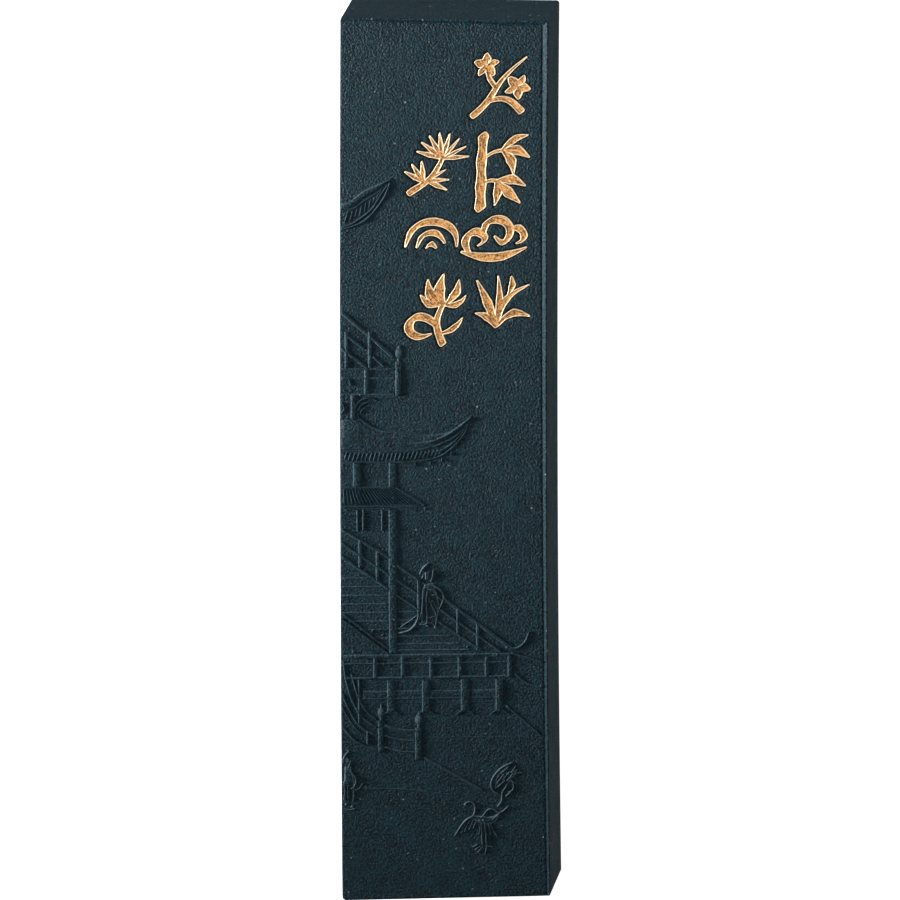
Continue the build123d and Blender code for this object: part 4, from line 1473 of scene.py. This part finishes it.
@dataclass
class Terrace(Relief):
    """Terrace: balustrade, its return to the right, the beam and the footed pillars under it."""

    name: str = "terrace"
    post_places: tuple[float, ...] = (5.15, 9.2, 13.4, 17.6, 21.65, 25.1)
    pillar_places: tuple[float, ...] = (7.4, 12.55, 18.3, 23.5)

    def draw(self) -> None:
        """Collect the terrace's lines."""
        for drawn in (
            ((0.6, 37.15), (25.3, 37.15), 0.7),
            ((0.6, 36.0), (25.3, 36.0), 0.38),
            ((0.6, 33.75), (25.3, 33.75), 0.5),
        ):
            self.bar(*drawn)
        for place in self.post_places:
            self.bar((place, 33.6), (place, 37.2), 0.72)
        self.line([(25.4, 37.4), (27.2, 36.8), (30.2, 35.9)], 0.42)
        self.line([(25.9, 34.1), (27.9, 32.5), (30.0, 31.9)], 0.36)
        self.dots([(29.9, 32.1)], 0.25, 0.24)
        for drawn in (
            ((3.3, 31.1), (23.0, 31.1), 1.35, 0.1),
            ((3.3, 30.5), (23.0, 30.5), 0.3),
            ((3.3, 29.75), (23.0, 29.75), 0.25, 0.1),
        ):
            self.bar(*drawn)
        for place in self.pillar_places:
            self.bar((place, 28.3), (place, 33.2), 1.2, 0.28)
            self.brush([(place - 1.25, 27.85), (place - 0.6, 28.35), (place, 28.4)], [0.2, 0.34, 0.4])
            self.brush([(place + 1.25, 27.95), (place + 0.6, 28.35), (place, 28.4)], [0.2, 0.34, 0.4])
        self.line([(24.4, 29.2), (27.2, 26.7), (29.8, 24.3)], 0.3, self.fine)
        self.bar((12.6, 24.3), (29.9, 24.2), 0.22, 0.08)


@dataclass
class GardenStair(Relief):
    """Curved garden stair: sweeping rails, two newels, three sagging rails and the ground steps."""

    name: str = "garden_stair"
    sag: float = 0.85

    def draw(self) -> None:
        """Collect the stair's lines."""
        for drawn in (
            ([(0.45, 36.3), (1.0, 32.6), (1.9, 29.8), (3.3, 27.5), (5.4, 26.0)], 0.36),
            ([(1.6, 34.4), (2.6, 30.9), (3.9, 28.4), (5.3, 27.2)], 0.34),
            ([(0.0, 32.0), (1.45, 28.4), (2.6, 26.5), (5.3, 24.7)], 0.34),
            ([(-0.3, 27.0), (0.9, 25.3), (2.3, 23.8), (5.4, 22.5)], 0.4),
            ([(0.1, 29.6), (1.2, 27.4), (2.6, 25.5), (5.3, 23.9)], 0.26, self.fine),
        ):
            self.line(*drawn)
        self.posts([2.72], 26.5, 33.4, 0.42)
        self.posts([3.95], 23.4, 25.4, 0.42)
        self.newel(5.95, 22.2, 27.0, 1.1)
        self.newel(11.5, 20.9, 25.8, 1.25)
        for height in (26.3, 24.7, 22.9):
            self.line([(6.5, height), (8.7, height - self.sag * 0.8), (11.0, height - self.sag)], 0.4)
        self.line([(-0.3, 23.7), (1.7, 23.6), (3.4, 23.1), (5.5, 22.2)], 0.3, self.fine)
        self.bar((12.3, 21.1), (20.9, 15.9), 0.42, 0.26)
        self.line([(0.4, 16.4), (7.0, 16.4), (16.1, 15.3)], 0.24, 0.07)


@dataclass
class Walker(Relief):
    """Small robed walker on the stair, with a trailing sash and a plain head."""

    name: str = "walker"
    rubbed_highlit: bool = True
    fold_width: float = 0.24

    def draw(self) -> None:
        """Collect the walker's lines."""
        for drawn in (
            ([(13.0, 48.4), (13.2, 46.0), (13.0, 42.0)], [1.4, 2.7, 2.3], 0.12),
            ([(12.7, 49.1), (12.75, 50.1)], [0.55, 0.75], 0.3),
            ([(11.7, 49.9), (12.1, 50.7), (12.9, 51.5)], [0.25, 0.4, 0.25], 0.34),
        ):
            self.brush(*drawn)
        for drawn in (
            ([(12.0, 49.2), (12.25, 49.9), (12.15, 50.3)], self.fold_width, 0.34),
            ([(13.7, 50.4), (13.5, 49.2), (13.3, 48.7)], self.fold_width, 0.34),
            ([(12.15, 48.5), (12.9, 48.2), (13.4, 48.4)], self.fold_width, 0.3),
            ([(13.4, 48.2), (14.3, 47.7), (15.2, 46.5), (14.9, 45.2), (14.4, 44.1)], self.fold_width, 0.34),
            ([(12.9, 47.5), (13.9, 47.3), (14.4, 46.3), (14.9, 45.8)], self.fold_width, 0.3),
            ([(13.5, 46.6), (14.0, 46.7), (14.4, 46.4)], 0.2, 0.3),
            ([(12.25, 47.7), (12.1, 46.0), (12.0, 44.2), (11.6, 42.8)], self.fold_width, 0.32),
            ([(12.8, 47.2), (12.65, 45.4), (12.75, 43.6), (12.7, 42.0)], self.fold_width, 0.3),
            ([(13.0, 46.2), (13.4, 45.2), (14.1, 43.5), (14.05, 41.9)], self.fold_width, 0.34),
            ([(13.6, 45.8), (14.0, 44.8), (14.6, 44.0)], self.fold_width, 0.3),
            ([(12.0, 43.4), (12.9, 43.1), (13.9, 43.3)], 0.2, 0.26),
            ([(11.5, 42.3), (12.2, 42.0), (13.0, 42.3), (13.9, 41.8)], 0.2, 0.26),
        ):
            self.line(*drawn)
        self.brush([(11.5, 43.7), (11.2, 42.4), (10.0, 41.1), (8.6, 40.75)], [0.26, 0.4, 0.4, 0.25], 0.3)
        self.line([(11.2, 43.4), (10.0, 42.5), (8.9, 41.7)], 0.2, 0.22)
        self.dots([(12.75, 41.8), (13.95, 41.6), (11.75, 42.1)], 0.2, 0.26)


@dataclass
class Gardener(Relief):
    """Small robed figure at the left side, with a curled sleeve and a plain head."""

    name: str = "gardener"
    rubbed_highlit: bool = True
    fold_width: float = 0.24

    def draw(self) -> None:
        """Collect the gardener's lines."""
        self.brush([(0.95, 19.9), (1.15, 17.8), (1.1, 14.6)], [0.9, 1.7, 1.4], 0.11)
        self.boss((0.85, 20.85), (0.36, 0.5), 0.2)
        self.brush([(0.3, 20.6), (0.5, 21.5), (1.1, 22.3)], [0.26, 0.34, 0.2], 0.32)
        for drawn in (
            ([(1.45, 20.8), (1.2, 20.1), (1.0, 19.7)], self.fold_width, 0.3),
            ([(1.05, 19.6), (1.7, 18.8), (2.2, 17.9), (2.05, 17.1), (1.5, 16.5)], self.fold_width, 0.32),
            ([(2.15, 16.3), (2.6, 16.5), (3.15, 17.3)], 0.28, 0.28),
            ([(0.35, 17.5), (0.8, 17.7), (1.05, 17.4)], self.fold_width, 0.28),
            ([(0.4, 17.3), (0.55, 16.0), (0.35, 14.8)], self.fold_width, 0.3),
            ([(1.05, 17.1), (0.92, 16.0), (1.05, 14.8)], self.fold_width, 0.3),
            ([(1.75, 16.2), (1.85, 15.4), (1.75, 14.6)], self.fold_width, 0.28),
        ):
            self.line(*drawn)
        self.dots([(0.7, 14.15), (1.55, 13.75)], 0.2, 0.26)
        self.line([(0.4, 13.5), (1.1, 13.3), (1.9, 13.4)], 0.2, 0.18)


@dataclass
class FlyingCrane(Relief):
    """Crane on the wing: the folded leading edge, rows of feathers, tail and neck."""

    name: str = "flying_crane"
    rubbed_highlit: bool = True
    feather_width: float = 0.24

    def draw(self) -> None:
        """Collect the crane's lines."""
        self.brush([(23.4, 15.9), (23.9, 17.3), (25.2, 19.2)], [1.4, 2.3, 1.5], 0.1)
        self.brush(
            [(25.4, 20.15), (24.3, 19.7), (23.4, 19.0), (22.5, 17.8), (22.2, 16.7), (22.5, 15.8), (23.3, 15.3)],
            [0.2, 0.3, 0.34, 0.34, 0.3, 0.28, 0.25],
            0.32,
        )
        for start, end in (
            ((24.9, 19.5), (23.7, 18.5)),
            ((25.9, 19.5), (25.2, 18.5)),
            ((24.9, 18.6), (24.0, 17.5)),
            ((24.1, 18.3), (23.1, 17.0)),
            ((25.5, 18.4), (24.6, 17.3)),
            ((24.3, 17.4), (23.0, 16.2)),
            ((26.1, 19.0), (25.7, 18.2)),
            ((23.4, 18.2), (22.9, 17.4)),
        ):
            self.bar(start, end, self.feather_width, 0.28)
        self.line([(26.8, 18.5), (26.2, 18.5), (25.5, 17.9)], 0.22, 0.24)
        self.line([(25.3, 17.4), (25.6, 16.6), (25.4, 15.8), (24.9, 15.6)], 0.24, 0.3)
        self.bar((25.1, 15.5), (24.4, 14.9), 0.34, 0.32)
        self.line([(24.6, 16.6), (24.2, 16.0), (23.8, 15.3)], 0.24, 0.26)
        self.line([(23.85, 15.2), (23.75, 14.2), (23.2, 13.4)], 0.28, 0.3)


@dataclass
class DancingCrane(Relief):
    """Crane that stands with its wings spread: curved neck, long legs and spread toes."""

    name: str = "dancing_crane"
    rubbed_highlit: bool = True
    feather_width: float = 0.22

    def draw(self) -> None:
        """Collect the crane's lines."""
        self.brush([(19.4, 11.8), (20.6, 11.4), (22.3, 11.3), (23.4, 12.2)], [0.6, 1.3, 1.2, 0.4], 0.12)
        self.line([(18.25, 13.75), (18.9, 14.2), (19.55, 13.9), (19.8, 12.9), (19.5, 11.9)], 0.28, 0.28)
        self.dots([(18.3, 13.75), (18.9, 14.15)], 0.17, 0.28)
        self.brush([(19.6, 12.0), (18.5, 11.4), (17.6, 10.3), (16.8, 9.1)], [0.3, 0.36, 0.3, 0.18], 0.32)
        for start, end in (
            ((19.5, 11.3), (18.9, 9.9)),
            ((18.9, 11.1), (18.2, 9.6)),
            ((20.0, 11.2), (19.5, 10.1)),
            ((18.3, 10.7), (17.7, 9.4)),
        ):
            self.bar(start, end, self.feather_width, 0.26)
        self.dots([(20.45, 11.25), (21.0, 11.3)], 0.2, 0.3)
        for drawn in (
            ([(20.7, 11.7), (21.2, 12.3), (21.8, 12.95), (22.7, 12.85), (23.2, 12.45), (24.7, 13.3)], 0.26, 0.3),
            ([(22.4, 11.4), (23.0, 11.9), (23.7, 12.6)], 0.24, 0.26),
            ([(20.75, 11.0), (20.8, 9.4), (20.9, 7.6)], 0.24, 0.28),
            ([(21.2, 11.0), (21.4, 9.4), (21.5, 7.4)], 0.24, 0.28),
            ([(21.7, 10.8), (22.0, 9.9), (22.1, 9.0)], 0.22, 0.24),
            ([(22.1, 10.6), (22.6, 9.6), (23.1, 8.7)], 0.22, 0.24),
            ([(20.3, 10.9), (20.5, 10.0), (20.4, 9.2)], 0.2, 0.22),
        ):
            self.line(*drawn)
        for start, end in (
            ((19.4, 7.3), (20.2, 7.7)),
            ((19.8, 6.9), (20.6, 7.4)),
            ((20.2, 6.5), (20.9, 7.3)),
            ((21.3, 6.3), (21.5, 7.2)),
            ((21.6, 7.4), (22.3, 7.3)),
        ):
            self.bar(start, end, self.feather_width, 0.26)


PICTURE: tuple[type[Relief], ...] = (UpperRoof, UpperStair, Balcony, GreatRoof, Storey, LeftStair, RightStair, Terrace,
    GardenStair, Walker, Gardener, FlyingCrane, DancingCrane)


@dataclass
class InkCrumbs:
    """Hard crumbs of ink that stand out of the panel here and there."""

    density: float = 55000.0
    least: float = 0.04
    most: float = 0.11
    panel: tuple[float, float, float, float] = (0.6, 1.0, 29.8, 133.6)

    def build(self, material: bpy.types.Material) -> bpy.types.Object:
        """Scatter the crumbs over the panel."""
        left, foot, right, head = self.panel
        corners = np.array([(left, foot), (right, foot), (right, head), (left, head)])
        mesh = plain_mesh("panel", on_face(corners, PANEL_HEIGHT), [(0, 1, 2, 3)])
        sizes = {"Density": self.density, "Least": self.least * MM, "Most": self.most * MM, "Material": material}
        made = run_trees(mesh, [(CrumbTree().build(), sizes)])
        return add_piece("ink_crumbs", join_meshes("ink_crumbs", [made]), material, ["ink_block"])


# Studio


@dataclass(frozen=True)
class SoftBox:
    """A soft box: its name, place, aim, width and length in millimetres, power in watts and beam in degrees."""

    name: str
    place: Place
    aim: Place
    size: Point
    power: float
    spread: float = 180.0

    def hang(self) -> None:
        """Hang it."""
        light = bpy.data.lights.new(self.name, "AREA")
        light.shape = "RECTANGLE"
        light.size, light.size_y = self.size[0] * MM, self.size[1] * MM
        light.energy = self.power
        light.spread = math.radians(self.spread)
        holder = bpy.data.objects.new(self.name, light)
        bpy.context.scene.collection.objects.link(holder)
        holder.location = Vector(self.place) * MM
        holder.rotation_euler = (Vector(self.aim) - Vector(self.place)).to_track_quat("-Z", "Y").to_euler()


@dataclass
class Studio:
    """Pale floor, soft lights and the camera."""

    floor_half: float = 6.0
    backdrop: str = "#FDFDFC"
    wall_light: float = 0.22
    ceiling_light: float = 0.1
    camera_lean: tuple[float, float] = (0.128, 0.262)
    camera_distance: float = 2.4
    camera_roll: float = -0.0023
    lens: float = 645.0
    sensor: float = 36.0
    clip: tuple[float, float] = (0.05, 60.0)
    aim: Place = (-0.13, 0.1, 7.0)
    boxes: tuple[SoftBox, ...] = (
        SoftBox("key box", (-385, 20, 100), (0, 80, 7), (60, 100), 0.96, 64.0),
        SoftBox("sheen box", (-18, 12, 250), (12, 74, 14), (60, 50), 0.3),
        SoftBox("end fill", (95, 310, 40), (0, 66, 7), (60, 60), 0.15, 90.0),
    )

    def add_floor(self) -> None:
        """Lay the floor under the stick."""
        half = self.floor_half / MM
        corners = np.array([(-half, -half, 0), (half, -half, 0), (half, half, 0), (-half, half, 0)])
        mesh = plain_mesh("floor", corners, [(0, 1, 2, 3)])
        floor = bpy.data.objects.new("floor", mesh)
        bpy.context.scene.collection.objects.link(floor)
        mesh.materials.append(PaleFloor().make())

    def add_lights(self) -> None:
        """Hang the lights and set the sky."""
        for box in self.boxes:
            box.hang()
        world = bpy.data.worlds.new("white room")
        bpy.context.scene.world = world
        world.use_nodes = True
        tree = world.node_tree
        tree.nodes.clear()
        # White walls and a dimmer ceiling
        way = add_node(tree, "TexCoord", out="Generated")
        rise = add_node(tree, "SeparateXYZ", {0: way}, out="Z")
        level = add_node(tree, "MapRange", {"Value": rise, 1: 0.1, 2: 0.8, 3: self.wall_light, 4: self.ceiling_light})
        shine = add_node(tree, "Background", {"Color": (1.0, 1.0, 1.0, 1.0), "Strength": level})
        backdrop = add_node(tree, "Background", {"Color": linear(self.backdrop)})
        seen = add_node(tree, "LightPath", out="Is Camera Ray")
        both = add_node(tree, "MixShader", {0: seen, 1: shine, 2: backdrop})
        add_node(tree, "OutputWorld", {"Surface": both})

    def add_camera(self) -> None:
        """Set the camera above the face, leaning to the right and to the top end."""
        back = Vector((*self.camera_lean, 1.0)).normalized()
        data = bpy.data.cameras.new("camera")
        data.lens = self.lens
        data.sensor_width = self.sensor
        data.clip_start, data.clip_end = self.clip
        camera = bpy.data.objects.new("camera", data)
        bpy.context.scene.collection.objects.link(camera)
        camera.location = Vector(self.aim) * MM + back * self.camera_distance
        right = (-back).cross(Vector((0, 1, 0))).normalized()
        up = right.cross(-back)
        turn = self.camera_roll
        rolled = right * math.cos(turn) + up * math.sin(turn)
        upright = up * math.cos(turn) - right * math.sin(turn)
        camera.rotation_mode = "QUATERNION"
        camera.rotation_quaternion = Matrix((rolled, upright, back)).transposed().to_quaternion()
        bpy.context.scene.camera = camera

    def build(self) -> None:
        """Set up the studio."""
        self.add_floor()
        self.add_lights()
        self.add_camera()
        view = bpy.context.scene.view_settings
        view.view_transform = "Standard"
        view.look = "None"


def main() -> None:
    """Build the studio and the stick piece by piece, logging each piece's face count."""
    logging.basicConfig(level=logging.INFO, format="%(message)s")
    Studio().build()
    ink = PressedInk().make()
    gold = GoldPaint().make()
    InkBlock().build(ink)
    lines = LineTree()
    # Ink for the figures: shoulders paler still, partly rubbed wear and partly painted highlight
    rubbed_highlit = PressedInk(name="pine soot ink, rubbed and painted with highlight", worn="#54656E").make()
    kit = MouldKit(ink, rubbed_highlit, lines.build(), RibTree().build(), BossTree().build(), lines.make_section())
    for part in PICTURE:
        part().build(kit)
    bpy.data.objects.remove(kit.section)
    InkCrumbs().build(ink)
    for mark in MARKS:
        mark.build(gold)


if __name__ == "__main__":
    main()
